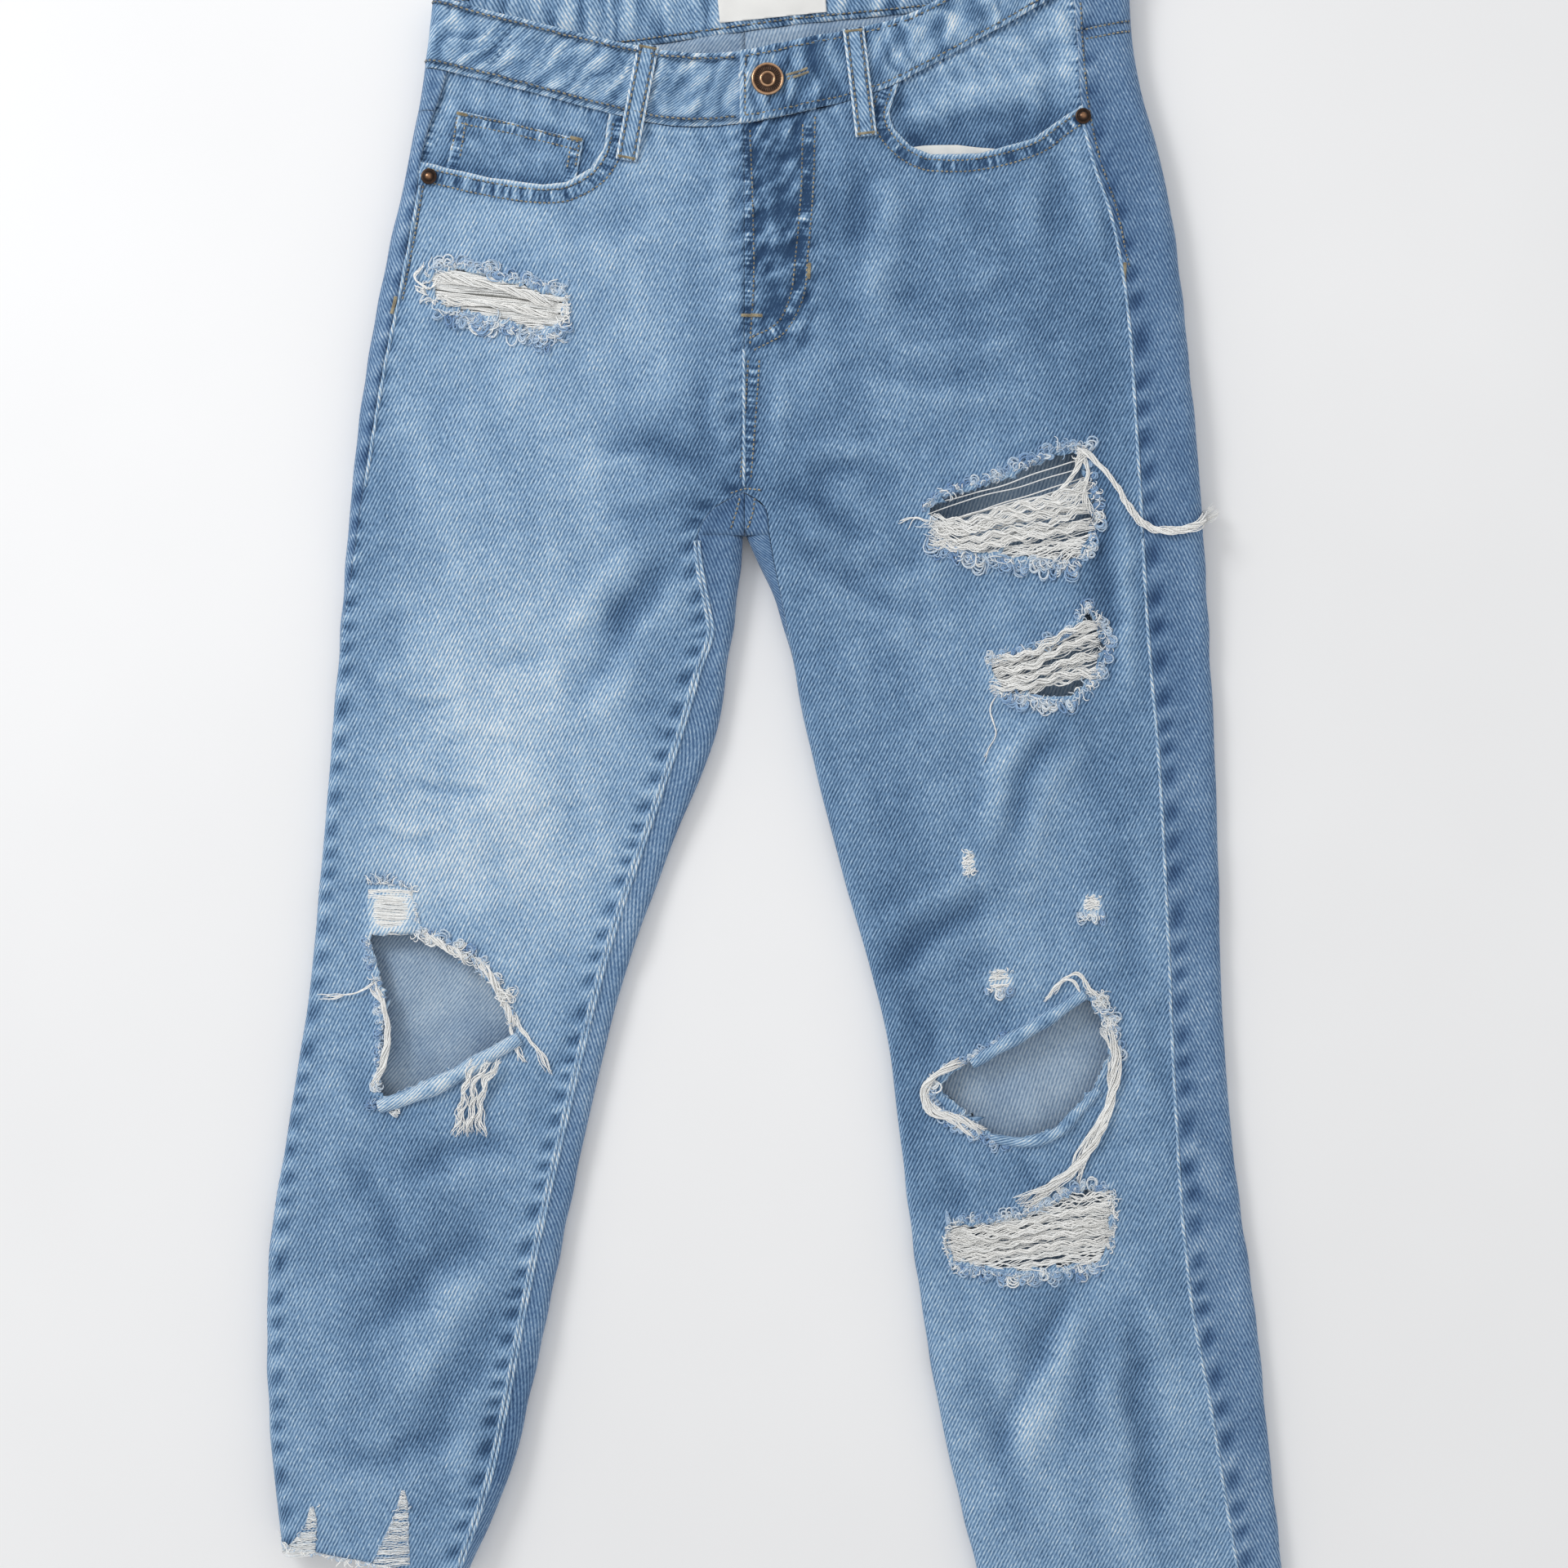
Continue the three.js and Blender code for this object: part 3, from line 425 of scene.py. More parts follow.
# between the rows of a sewn edge the cloth bunches into short dark and pale dashes: (line, half width, how
# much)
outseamFront = [(outseamLeft(y) + 4.5, y) for y in (439, 362, 300, 228, 98, -95, -204, -286, -342, -396,
                                                    -450)]
inseamFront = [(inseamRightOnTop(y) + 4.5, y) for y in (-438, -379, -274, -214, -104, -28, 19, 50, 80, 118)]
bunched = [(beside(flyEdge, -2.6)[::4], 2.2, 1.0), (beside(jInner, 3.2)[::4], 3.0, 0.9),
           (beside(mouthRight, 5.8)[::4], 3.0, 1.0),
           (beside(mouthLeft, -5.4)[::4], 3.0, 1.0), ([(-11.5, 218), (-12.5, 201), (-15.5, 154)], 3.2, 0.9),
           (outseamFront, 3.4, 0.9), (inseamFront, 3.2, 0.9),
           ([(-190, 320), (-210, 226), (-226, 146), (-235, 60)], 3, 0.6)]


# length along the nearest bunched edge and how strongly it bunches: a bell curve of the distance from it
def bunching(x, y):
    along, close = np.zeros(np.shape(x)), np.zeros(np.shape(x))
    for k, (line, wide, amount) in enumerate(bunched):
        away, run, _ = toLine(x, y, line)
        near = amount * np.exp(-(away / wide)**2)
        along = np.where(near > close, run + 300 * k, along)
        close = np.maximum(near, close)
    return along, close


# depth in a rip, its edge made uneven by short ripples
def ripDepth(x, y, outline):
    return insideBy(x, y, outline) + 0.9 * ripple(x, y, 7, 23) + 0.5 * ripple(x, y, 3.4, 29)


# cloth points given their height: upper side by the relief, underside only up into the garment
def drapeCloth(p, out):
    x, y = p[..., 0], p[..., 1]
    height, fadeAndShade = relief(x, y)
    upper = smooth(out[..., 2], 0.0, 0.9)
    under = smooth(-out[..., 2], 0.0, 0.9)
    rise = 1.3 * np.clip(ripple(x, y, 48, 31), 0, 2) + 0.5 * np.clip(ripple(x, y, 19, 37), 0, 2)
    side = (1 - upper - under) * 0.3 * ripple(y, p[..., 2], 30, 41)
    moved = p + out * side[..., None]
    moved[..., 2] += upper * height + under * np.clip(rise, 0, 3.2)
    fadeAndShade = np.where(upper > 0.02, fadeAndShade * upper, 0) + (1 - upper) * (0.07 * ripple(x, y, 40, 43)
                                                                       + 0.03 * ripple(x, y, 12, 47) - 0.04)
    return moved, fadeAndShade


# height of the top of the cloth above any (x, y), 0 on the table beyond it
def topZ(x, y):
    y = np.asarray(y, float)
    above, right = y >= crotchY, x < centreX
    high = np.where(above | ~right, outerLeft(y), innerRight(y))
    low = np.where(above | right, outerRight(y), innerLeft(y))
    r = np.where(above, body["hipHeight"], np.where(right, heightRight(y), heightLeft(y))) / 2
    over = np.clip(np.maximum(x - high + r, low + r - x) / r, 0, 1)
    rounding = np.sqrt(1 - over**2)
    top = lift(y) + r * (1 + rounding) + rounding * relief(x, y)[0]
    return np.where(over >= 1, 0.3, top)


# grid of cloth: across, s runs between the stops of ends(y); along, place(row, point) gives y. y and x
# depend on each other, so they are worked out in turn a few times
def clothGrid(sectionAt, rows, ends, counts, place=None):
    cols = np.concatenate([np.linspace(k, k + 1, n + 1)[(1 if k else 0):] for k, n in enumerate(counts)])
    k = np.minimum(cols.astype(int), len(counts) - 1)
    row = np.repeat(np.asarray(rows, float)[:, None], len(cols), 1)
    p = np.stack([0 * row, row, 0 * row + body["hipTop"]], -1)
    for _ in range(6):
        y = row if place is None else place(row, p)
        stops = np.stack([e + 0 * y for e in ends(y)])
        a = np.take_along_axis(stops, np.broadcast_to(k, row.shape)[None], 0)[0]
        b = np.take_along_axis(stops, np.broadcast_to(k + 1, row.shape)[None], 0)[0]
        s = lerp(a, b, cols - k)
        p, out = onBody(sectionAt, y, s)
    return dict(p=p, out=out, s=s)


def gridFaces(rows, cols):  # four corners of each cell, in turn seen from outside
    i = np.arange(rows * cols).reshape(rows, cols)
    return np.stack([i[:-1, :-1], i[:-1, 1:], i[1:, 1:], i[1:, :-1]], -1).reshape(-1, 4)


# grids joined where their points agree to a thousandth: points, ways out, s and faces
def joinGrids(grids):
    faces, start = [], 0
    for g in grids:
        faces.append(gridFaces(*g["s"].shape) + start)
        start += g["s"].size
    p = np.concatenate([g["p"].reshape(-1, 3) for g in grids])
    out = np.concatenate([g["out"].reshape(-1, 3) for g in grids])
    s = np.concatenate([g["s"].ravel() for g in grids])
    _, first, back = np.unique(np.round(p, 3), axis=0, return_index=True, return_inverse=True)
    return p[first], out[first], s[first], back.ravel()[np.concatenate(faces)]


# faces wholly inside an opening go, and points just inside move out to its edge along the slope of depth
def openCloth(p, faces, depthAt, able):
    x, y = p[:, 0], p[:, 1]
    depth = np.where(able, depthAt(x, y), -9.0)
    faces = faces[~(depth[faces] > 0).all(1)]
    gx = (depthAt(x + 0.3, y) - depthAt(x - 0.3, y)) / 0.6
    gy = (depthAt(x, y + 0.3) - depthAt(x, y - 0.3)) / 0.6
    size = np.maximum(gx**2 + gy**2, 0.4)
    shift = np.where(depth > 0, np.minimum(depth, 4), 0) / size
    p = p.copy()
    p[:, 0] -= shift * gx
    p[:, 1] -= shift * gy
    return p, faces


def tidyFaces(faces):  # cells with two corners in one place become triangles or go
    clean = []
    for face in faces.tolist():
        kept = [v for k, v in enumerate(face) if v != face[k - 1]]
        if len(set(kept)) >= 3 and len(set(kept)) == len(kept):
            clean.append(kept)
    return clean


# a mesh object from points in mm, with its own attributes, materials, body and CAD nodes. cloth is the
# length across and along it, wear how pale it is (faded dye, and on the cloth panels and pocket pieces
# painted shade too), bunch the length along a sewn edge and how much it bunches
def putMesh(name, p, faces, materials, nodes=(), cloth=None, wear=None, wall=0.0, bunch=None):
    mesh = bpy.data.meshes.new(name + "_cloth")
    p = np.asarray(p, float).reshape(-1, 3)
    if isinstance(faces, np.ndarray):
        faces = tidyFaces(faces) if wall else faces.tolist()
    used = np.unique(np.concatenate([np.ravel(f) for f in faces])) if wall else np.arange(len(p))
    if wall:
        lookup = np.full(len(p), -1)
        lookup[used] = np.arange(len(used))
        faces = [[int(lookup[v]) for v in f] for f in faces]
    mesh.from_pydata((p[used] / 1000).tolist(), [], faces)
    for key, kind, field, values in (("cloth", "FLOAT_VECTOR", "vector", cloth),
                                     ("wear", "FLOAT", "value", wear),
                                     ("bunch", "FLOAT_VECTOR", "vector", bunch)):
        if values is not None:
            layer = mesh.attributes.new(key, kind, "POINT")
            values = np.asarray(values, float).reshape(-1, 3 if field == "vector" else 1)
            layer.data.foreach_set(field, values[used].ravel())
    for material in materials:
        mesh.materials.append(material)
    mesh.polygons.foreach_set("use_smooth", np.ones(len(mesh.polygons), bool))
    mesh.update()
    obj = bpy.data.objects.new(name + "_cloth" if name in frame["nodes"] else name, mesh)
    bpy.context.scene.collection.objects.link(obj)
    if wall:
        shell = obj.modifiers.new("wall", "SOLIDIFY")
        shell.thickness = wall / 1000
        shell.offset = -1
        shell.use_rim = True
        shell.use_even_offset = False
        shell.material_offset = 1
        shell.material_offset_rim = 1
    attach(obj, "root")
    if nodes:
        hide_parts(*nodes)
    return obj


def addNode(tree, kind, inputs=None, **settings):
    node = tree.nodes.new(kind)
    for key, value in settings.items():
        setattr(node, key, value)
    for key, value in (inputs or {}).items():
        if isinstance(value, bpy.types.NodeSocket):
            tree.links.new(value, node.inputs[key])
        else:
            node.inputs[key].default_value = value
    return node


def newMaterial(name, **sockets):
    material = bpy.data.materials.new(name)
    material.use_nodes = True
    tree = material.node_tree
    shader = tree.nodes["Principled BSDF"]
    for key, value in sockets.items():
        shader.inputs[key.replace("_", " ")].default_value = value
    return material, tree, shader


def sumOf(tree, *terms):  # each term is (socket, weight, middle): weight times (socket less middle), added up
    total = None
    for socket, weight, middle in terms:
        part = addNode(tree, "ShaderNodeMath", {0: socket, 1: weight, 2: -weight * middle},
                       operation="MULTIPLY_ADD")
        total = part.outputs[0] if total is None else addNode(tree, "ShaderNodeMath",
                                                              {0: total, 1: part.outputs[0]},
                                                              operation="ADD").outputs[0]
    return total


def ramp(tree, factor, stops):
    node = addNode(tree, "ShaderNodeValToRGB", {0: factor})
    elements = node.color_ramp.elements
    while len(elements) < len(stops):
        elements.new(0.5)
    for element, (at, colour) in zip(elements, stops):
        element.position = at
        element.color = linear(*colour)
    return node.outputs["Color"]


def attribute(tree, name, output="Fac"):
    return addNode(tree, "ShaderNodeAttribute", attribute_name=name).outputs[output]


def noise(tree, vector, scale, detail):
    return addNode(tree, "ShaderNodeTexNoise",
                   {"Vector": vector, "Scale": scale, "Detail": detail}).outputs["Fac"]


def waves(tree, vector, scale, distortion, direction="X", **more):
    inputs = {"Vector": vector, "Scale": scale, "Distortion": distortion}
    inputs.update({key.replace("_", " "): value for key, value in more.items()})
    return addNode(tree, "ShaderNodeTexWave", inputs, bands_direction=direction).outputs["Fac"]


# the value looked up among the stops as colour, with its roughness and a bump of strength and depth in metres
def surface(tree, shader, value, stops, rough, height, strength, depth):
    tree.links.new(ramp(tree, value, stops), shader.inputs["Base Color"])
    tree.links.new(rough, shader.inputs["Roughness"])
    bump = addNode(tree, "ShaderNodeBump", {"Height": height, "Strength": strength, "Distance": depth})
    tree.links.new(bump.outputs["Normal"], shader.inputs["Normal"])


# denim: a fine diagonal weave, slubs along the warp, cloudy dye and dashes at bunched edges, all on the
# cloth's own lengths in mm; the wear attribute shifts it from deep to bare, and on some pieces it also carries
# painted shade of creases, folds and pocket edges
def denimMaterial(name, stops, turn, level=0.0, contrast=1.0):
    material, tree, shader = newMaterial(name, Roughness=0.88, Sheen_Weight=0.10, Sheen_Roughness=0.45,
                                         Specular_IOR_Level=0.25)
    along = attribute(tree, "cloth", "Vector")

    def scaled(x, y, angle=0.0):  # turned by the angle, then x and y times as fine
        return addNode(tree, "ShaderNodeMapping", {"Vector": along, "Scale": (1 / x, 1 / y, 1),
                                                   "Rotation": (0, 0, -angle)},
                       vector_type="TEXTURE").outputs["Vector"]
    twill = waves(tree, scaled(1, 1, turn), 0.175, 0.9, Detail=2.0, Detail_Scale=0.6)
    slub = noise(tree, scaled(1.1, 0.14), 1.0, 3.0)
    yarn = noise(tree, scaled(1.3, 0.42, turn), 1.0, 2.0)
    cloud = noise(tree, scaled(0.07, 0.04), 1.0, 4.0)
    edge = addNode(tree, "ShaderNodeSeparateXYZ", {"Vector": attribute(tree, "bunch", "Vector")}).outputs
    run = addNode(tree, "ShaderNodeCombineXYZ", {"X": edge["X"]}).outputs["Vector"]
    dashes = sumOf(tree, (noise(tree, run, 0.40, 1.0), 1.0, 0.54))
    tight = addNode(tree, "ShaderNodeMath", {0: dashes, 1: edge["Y"]}, operation="MULTIPLY").outputs[0]
    value = sumOf(tree, (attribute(tree, "wear"), 1.0, -level), (twill, 0.42 * contrast, 0.5),
                  (slub, 0.30 * contrast, 0.5), (yarn, 0.80 * contrast, 0.5), (cloud, 0.16, 0.5),
                  (tight, 2.6, 0))
    surface(tree, shader, value, stops, sumOf(tree, (yarn, 0.16, -5.2)),
            sumOf(tree, (twill, 0.5, 0), (yarn, 0.8, 0), (slub, 0.5, 0)), 0.5, 0.0003)
    return material


blues = [(0.0, (40, 68, 102)), (0.22, (74, 105, 139)), (0.42, (105, 139, 175)), (0.6, (139, 171, 204)),
         (0.78, (176, 202, 224)), (0.92, (214, 225, 232)), (1.0, (234, 238, 240))]
stripBlues = [(0.0, (40, 68, 106)), (0.3, (74, 105, 143)), (0.5, (102, 134, 170)), (0.7, (138, 166, 196)),
              (0.9, (186, 204, 220)), (1.0, (218, 226, 232))]
insideBlues = [(0.0, (84, 108, 140)), (0.3, (124, 148, 176)), (0.5, (152, 175, 199)), (0.72, (184, 202, 218)),
               (1.0, (220, 227, 232))]
rising, falling = math.radians(27), math.radians(-27)
denimFront = denimMaterial("denim_front", blues, rising)
denimBack = denimMaterial("denim_back_panels", stripBlues, falling)
denimInside = denimMaterial("denim_inside", insideBlues, falling, contrast=0.9)
denimPocket = denimMaterial("denim_pocket_parts", blues, rising, level=0.02)


# thread: two plies twisting round it; wear runs from dark to pale by its own stops
def threadMaterial(name, stops, twist=0.30):
    material, tree, shader = newMaterial(name, Roughness=0.85, Sheen_Weight=0.6, Sheen_Roughness=0.5,
                                         Specular_IOR_Level=0.2)
    along = attribute(tree, "cloth", "Vector")
    plies = waves(tree, along, twist, 0.8, "DIAGONAL")
    lint = noise(tree, along, 0.6, 2.0)
    value = sumOf(tree, (attribute(tree, "wear"), 1.0, 0), (plies, 0.10, 0.5), (lint, 0.20, 0.5))
    surface(tree, shader, value, stops, sumOf(tree, (lint, 0.2, -3.8)), plies, 0.4, 0.0001)
    return material


looseThread = threadMaterial("loose_cotton",
                             [(0.0, (98, 136, 184)), (0.3, (150, 184, 220)), (0.55, (200, 218, 236)),
                                              (0.75, (242, 246, 248)), (1.0, (255, 255, 253))])
tanThread = threadMaterial("topstitch_thread",
                           [(0.0, (96, 92, 76)), (0.5, (142, 132, 104)), (1.0, (188, 172, 132))])
goldThread = threadMaterial("gold_thread",
                            [(0.0, (112, 102, 76)), (0.5, (154, 140, 106)), (1.0, (200, 186, 150))])


# plain woven cotton: two crossed waves for the yarns, pitch mm apart, a little cloud and soiling
def cottonMaterial(name, stops, pitch):
    material, tree, shader = newMaterial(name, Roughness=0.9, Sheen_Weight=0.2, Specular_IOR_Level=0.2)
    along = attribute(tree, "cloth", "Vector")
    warp, weft = (waves(tree, along, 0.314 / pitch, 0.6, direction) for direction in "XY")
    cloud = noise(tree, along, 0.06, 4.0)
    value = sumOf(tree, (attribute(tree, "wear"), 1.0, 0), (warp, 0.10, 0.5), (weft, 0.10, 0.5),
                  (cloud, 0.35, 0.5))
    surface(tree, shader, value, stops, sumOf(tree, (cloud, 0.14, -5.9)),
            sumOf(tree, (warp, 0.5, 0), (weft, 0.5, 0)),
            0.35, 0.0002)
    return material


pocketCotton = cottonMaterial("pocketing_cotton", [(0.0, (196, 200, 202)), (0.5, (228, 229, 226)),
                                                   (1.0, (243, 242, 238))], 0.5)
labelCotton = cottonMaterial("label_tape",
                             [(0.0, (214, 214, 212)), (0.5, (238, 238, 236)), (1.0, (248, 248, 246))],
                             0.35)
tapeCotton = cottonMaterial("zip_tape_cotton",
                            [(0.0, (52, 68, 92)), (0.5, (78, 98, 124)), (1.0, (120, 138, 160))],
                            0.7)


# aged copper: dark in the hollows, bright where rubbed, by the wear attribute and a fine grain
def copperMaterial():
    material, tree, shader = newMaterial("aged_copper", Metallic=0.85, Roughness=0.38)
    place = addNode(tree, "ShaderNodeTexCoord").outputs["Object"]
    wear = attribute(tree, "wear")
    grain, patina = noise(tree, place, 1400.0, 3.0), noise(tree, place, 380.0, 3.0)
    stops = [(0.0, (38, 30, 26)), (0.4, (82, 62, 50)), (0.7, (150, 112, 84)), (1.0, (206, 168, 134))]
    surface(tree, shader, sumOf(tree, (wear, 1.0, 0), (grain, 0.25, 0.5), (patina, 0.45, 0.5)), stops,
            sumOf(tree, (grain, 0.2, 0.5), (wear, -0.25, 1.7)), grain, 0.25, 0.0001)
    return material


copper = copperMaterial()
print("materials made")


def spread(low, high, step):
    return np.linspace(low, high, max(2, int(round((high - low) / step)) + 1))


# a leg's hem slopes a little across it, over the lowest stretch
def slopeTo(hemY, slope, middle):
    return lambda row, p: row + np.clip(1 - (row - hemY) / 60, 0, 1) * slope * (p[..., 0] - middle)


# rows above the hip fan out to the seam above
def fanTo(seam, short):
    return lambda row, p: np.where(row > hipY, hipY + (row - hipY) * (seam(p) - short - hipY), row)


panel = dict(stepFront=2.7, stepBack=3.6, colsFront=86, hemRight=(-429, -0.2, -215),
             hemLeft=(-453, 0.126, 196),
             fanRows=44, fanRowsBack=22, baseWear=0.50)


def hipRowsUp(step, fans):  # rows a step apart from the crotch to the hip, then the fanned ones
    return np.r_[spread(crotchY, crossingY, step)[:-1], spread(crossingY, hipY, step),
                 hipY + np.linspace(0, 1, fans)[1:]]


def edgeStart(ring, s):  # where the narrow strip beside a seam ends and the flat of the front begins
    return np.maximum(ring["low"], s + 3)


# a front: leg and hip joined and draped, its edges raised and worn round the openings, then cut open
def makeFront(name, legGrid, hipGrid, openings, mouth, cutMouth):
    p, out, s, faces = joinGrids([legGrid, hipGrid])
    flatP = p.copy()
    p, fadeAndShade = drapeCloth(p, out)
    x, y = flatP[:, 0], flatP[:, 1]
    onTop = out[:, 2] > 0.2
    wear = panel["baseWear"] + fadeAndShade
    for outline in openings:
        away = np.abs(ripDepth(x, y, outline))
        near = np.where(onTop, np.exp(-(away / 4.5)**2), 0)
        p[:, 2] += near * (0.9 + 0.8 * ripple(x, y, 15, 53))
        wear += near * (0.08 + 0.10 * ripple(x, y, 6, 59)) + 0.12 * np.where(onTop, np.exp(-(away / 1.3)**2),
                                                                             0)
    for cx, cy, rx, ry in nicks:
        reach = np.hypot((x - cx) / rx, (y - cy) / ry)
        p[:, 2] += np.where(onTop, 0.8 * np.exp(-((reach - 1) * 3)**2), 0)
        wear += np.where(onTop, 0.42 * np.exp(-(reach / 1.1)**4), 0)
    lip = toLine(x, y, mouth)[0]
    wear += np.where(onTop, 0.34 * np.exp(-(lip / 2.2)**2), 0)
    for outline in openings:
        p, faces = openCloth(p, faces, lambda a, b, o=outline: ripDepth(a, b, o), onTop)
    p, faces = openCloth(p, faces, lambda a, b: insideBy(a, b, cutMouth), onTop)
    cloth = np.stack([s, y, 0 * s], -1)
    putMesh(name, p, faces, [denimFront, denimInside], [name], cloth, wear, body["cloth"],
            pile(*bunching(x, y), 0.0))


cols = [4, panel["colsFront"]]
makeFront(
    "front_right",
    clothGrid(legRight, spread(panel["hemRight"][0], crotchY, panel["stepFront"]), lambda y: [
        outseamRight(y) + gap, edgeStart(legRight(y), outseamRight(y)), inseamRightOnTop(y) - gap], cols,
        slopeTo(*panel["hemRight"])),
    clothGrid(hip, hipRowsUp(panel["stepFront"], panel["fanRows"]), lambda y: [
        outseamRight(y) + gap, edgeStart(hip(y), outseamRight(y)),
        np.where(y < crossingY, inseamRightOnTop(y), centreX) - gap], cols, fanTo(bandBottom, 0.3)),
    [rips["hip"], rips["kneeRight"]], mouthRight, mouthRight + [(-215, 326), (-215, 400), (-90, 400)])
makeFront(
    "front_left",
    clothGrid(legLeft, spread(panel["hemLeft"][0], crotchY, panel["stepFront"]), lambda y: [
        inseamLeft(y) + gap, edgeStart(legLeft(y), inseamLeft(y)), outseamLeft(y) - gap], cols,
        slopeTo(*panel["hemLeft"])),
    clothGrid(hip, hipRowsUp(panel["stepFront"], panel["fanRows"]), lambda y: [
        np.where(y < crossingY, inseamLeftOnTop(y), centreX) + gap,
        np.where(y < crossingY, inseamLeftOnTop(y), centreX) + 3, outseamLeft(y) - gap], cols,
        fanTo(bandBottom, 0.3)),
    [rips["thigh"], rips["lowerThigh"], rips["kneeLeft"], rips["shin"]], mouthLeft,
    mouthLeft + [(180, 360), (180, 430), (67, 430)])
print("fronts made")


def underRight(x):  # s of the underside at x, counted back from the outer edge of the wearer's right
    return lambda y: 2 * hip(y)["low"] - pi * hip(y)["r"] - x


def underLeft(x):  # s of the underside at x, counted on from the outer edge of the wearer's left
    return lambda y: 2 * hip(y)["high"] + pi * hip(y)["r"] - x


def makeBack(name, grids):
    p, out, s, faces = joinGrids(grids)
    y = p[:, 1].copy()
    p, fadeAndShade = drapeCloth(p, out)
    putMesh(name, p, faces, [denimBack, denimInside], [name], pile(s, y, 0.0),
            panel["baseWear"] + fadeAndShade,
            body["cloth"])


tongueRows = spread(crotchY, crossingY - 0.6, panel["stepBack"])


# stops of s across the back of a leg: from one seam over the edge, under the leg and up to the other
def legBackRight(y):
    ring = legRight(y)
    inseam = inseamRightOnTop(y) + gap
    under = ring["high"] + pi * ring["r"]
    return [inseam, np.maximum(ring["high"], inseam + 1), ring["high"] + pi * ring["r"] / 2, under,
            under + ring["flat"],
            outseamRight(y) - gap + ring["around"]]


def legBackLeft(y):
    ring = legLeft(y)
    inseam = inseamLeft(y) - gap
    under = ring["high"] + pi * ring["r"]
    fold = ring["low"] - pi * ring["r"] / 2
    return [outseamLeft(y) + gap, ring["high"], under, under + ring["flat"], np.minimum(fold, inseam - 2)
            + ring["around"], np.minimum(ring["low"], inseam - 1) + ring["around"], inseam + ring["around"]]


def shifted(grid, by):  # the same cloth with its lengths counted from another edge
    return dict(grid, s=grid["s"] + by)


legGrid = clothGrid(legRight, spread(panel["hemRight"][0], crotchY, panel["stepBack"]), legBackRight,
                    [4, 5, 5, 34, 12], slopeTo(*panel["hemRight"]))
makeBack("back_right", [
    shifted(legGrid, -legRight(legGrid["p"][..., 1])["around"]),
    shifted(clothGrid(hip, tongueRows, lambda y: [inseamRightOnTop(y) + np.where(y > 140, 0.9, gap),
                                                  centreX - gap], [9]), -legRight(crotchY)["around"]),
    clothGrid(hip, hipRowsUp(panel["stepBack"], panel["fanRowsBack"]), lambda y: [
        underRight(centreX - gap)(y), underRight(legRight(crotchY)["high"])(y), underRight(hip(y)["low"])(y),
        outseamRight(y) - gap], [5, 34, 12], fanTo(lambda p: yokeLine(p[..., 0]), 0.4))])
makeBack("back_left", [
    clothGrid(legLeft, spread(panel["hemLeft"][0], crotchY, panel["stepBack"]), legBackLeft,
              [14, 6, 34, 5, 5, 4], slopeTo(*panel["hemLeft"])),
    clothGrid(hip, hipRowsUp(panel["stepBack"], panel["fanRowsBack"]), lambda y: [
        outseamLeft(y) + gap, hip(y)["high"], underLeft(hip(y)["high"])(y),
        underLeft(legLeft(crotchY)["low"])(y),
        underLeft(centreX + gap)(y)], [14, 6, 34, 5], fanTo(lambda p: yokeLine(p[..., 0]), 0.4)),
    shifted(clothGrid(hip, tongueRows, lambda y: [centreX + gap, inseamLeftOnTop(y)
                                                  - np.where(y > 140, 0.9, gap)], [9]),
            legLeft(crotchY)["around"])])


def yokePlace(row, p):  # from the yoke seam at row 0 to the band at row 1
    return lerp(yokeLine(p[..., 0]), bandBottom(p) - 0.3, row)


def makeYoke(name, ends, counts):
    makeBack(name, [clothGrid(hip, np.linspace(0, 1, 18), ends, counts, yokePlace)])


makeYoke("yoke_right", lambda y: [underRight(centreX - gap)(y), underRight(hip(y)["low"])(y),
                                              outseamRight(y) - gap], [52, 14])
makeYoke("yoke_left", lambda y: [outseamLeft(y) + gap, hip(y)["high"], underLeft(hip(y)["high"])(y),
                                            underLeft(centreX + gap)(y)], [10, 10, 60])
print("backs and yokes made")


band = dict(end=-19, flat=25, foot=34, lift=2.2, underlapEnd=22, rows=22, high=38, seams=(0.09, 0.91),
            steps=[22, 4, 68, 12, 150, 12, 88], pucker=1.0, wave=11, baseWear=0.50)


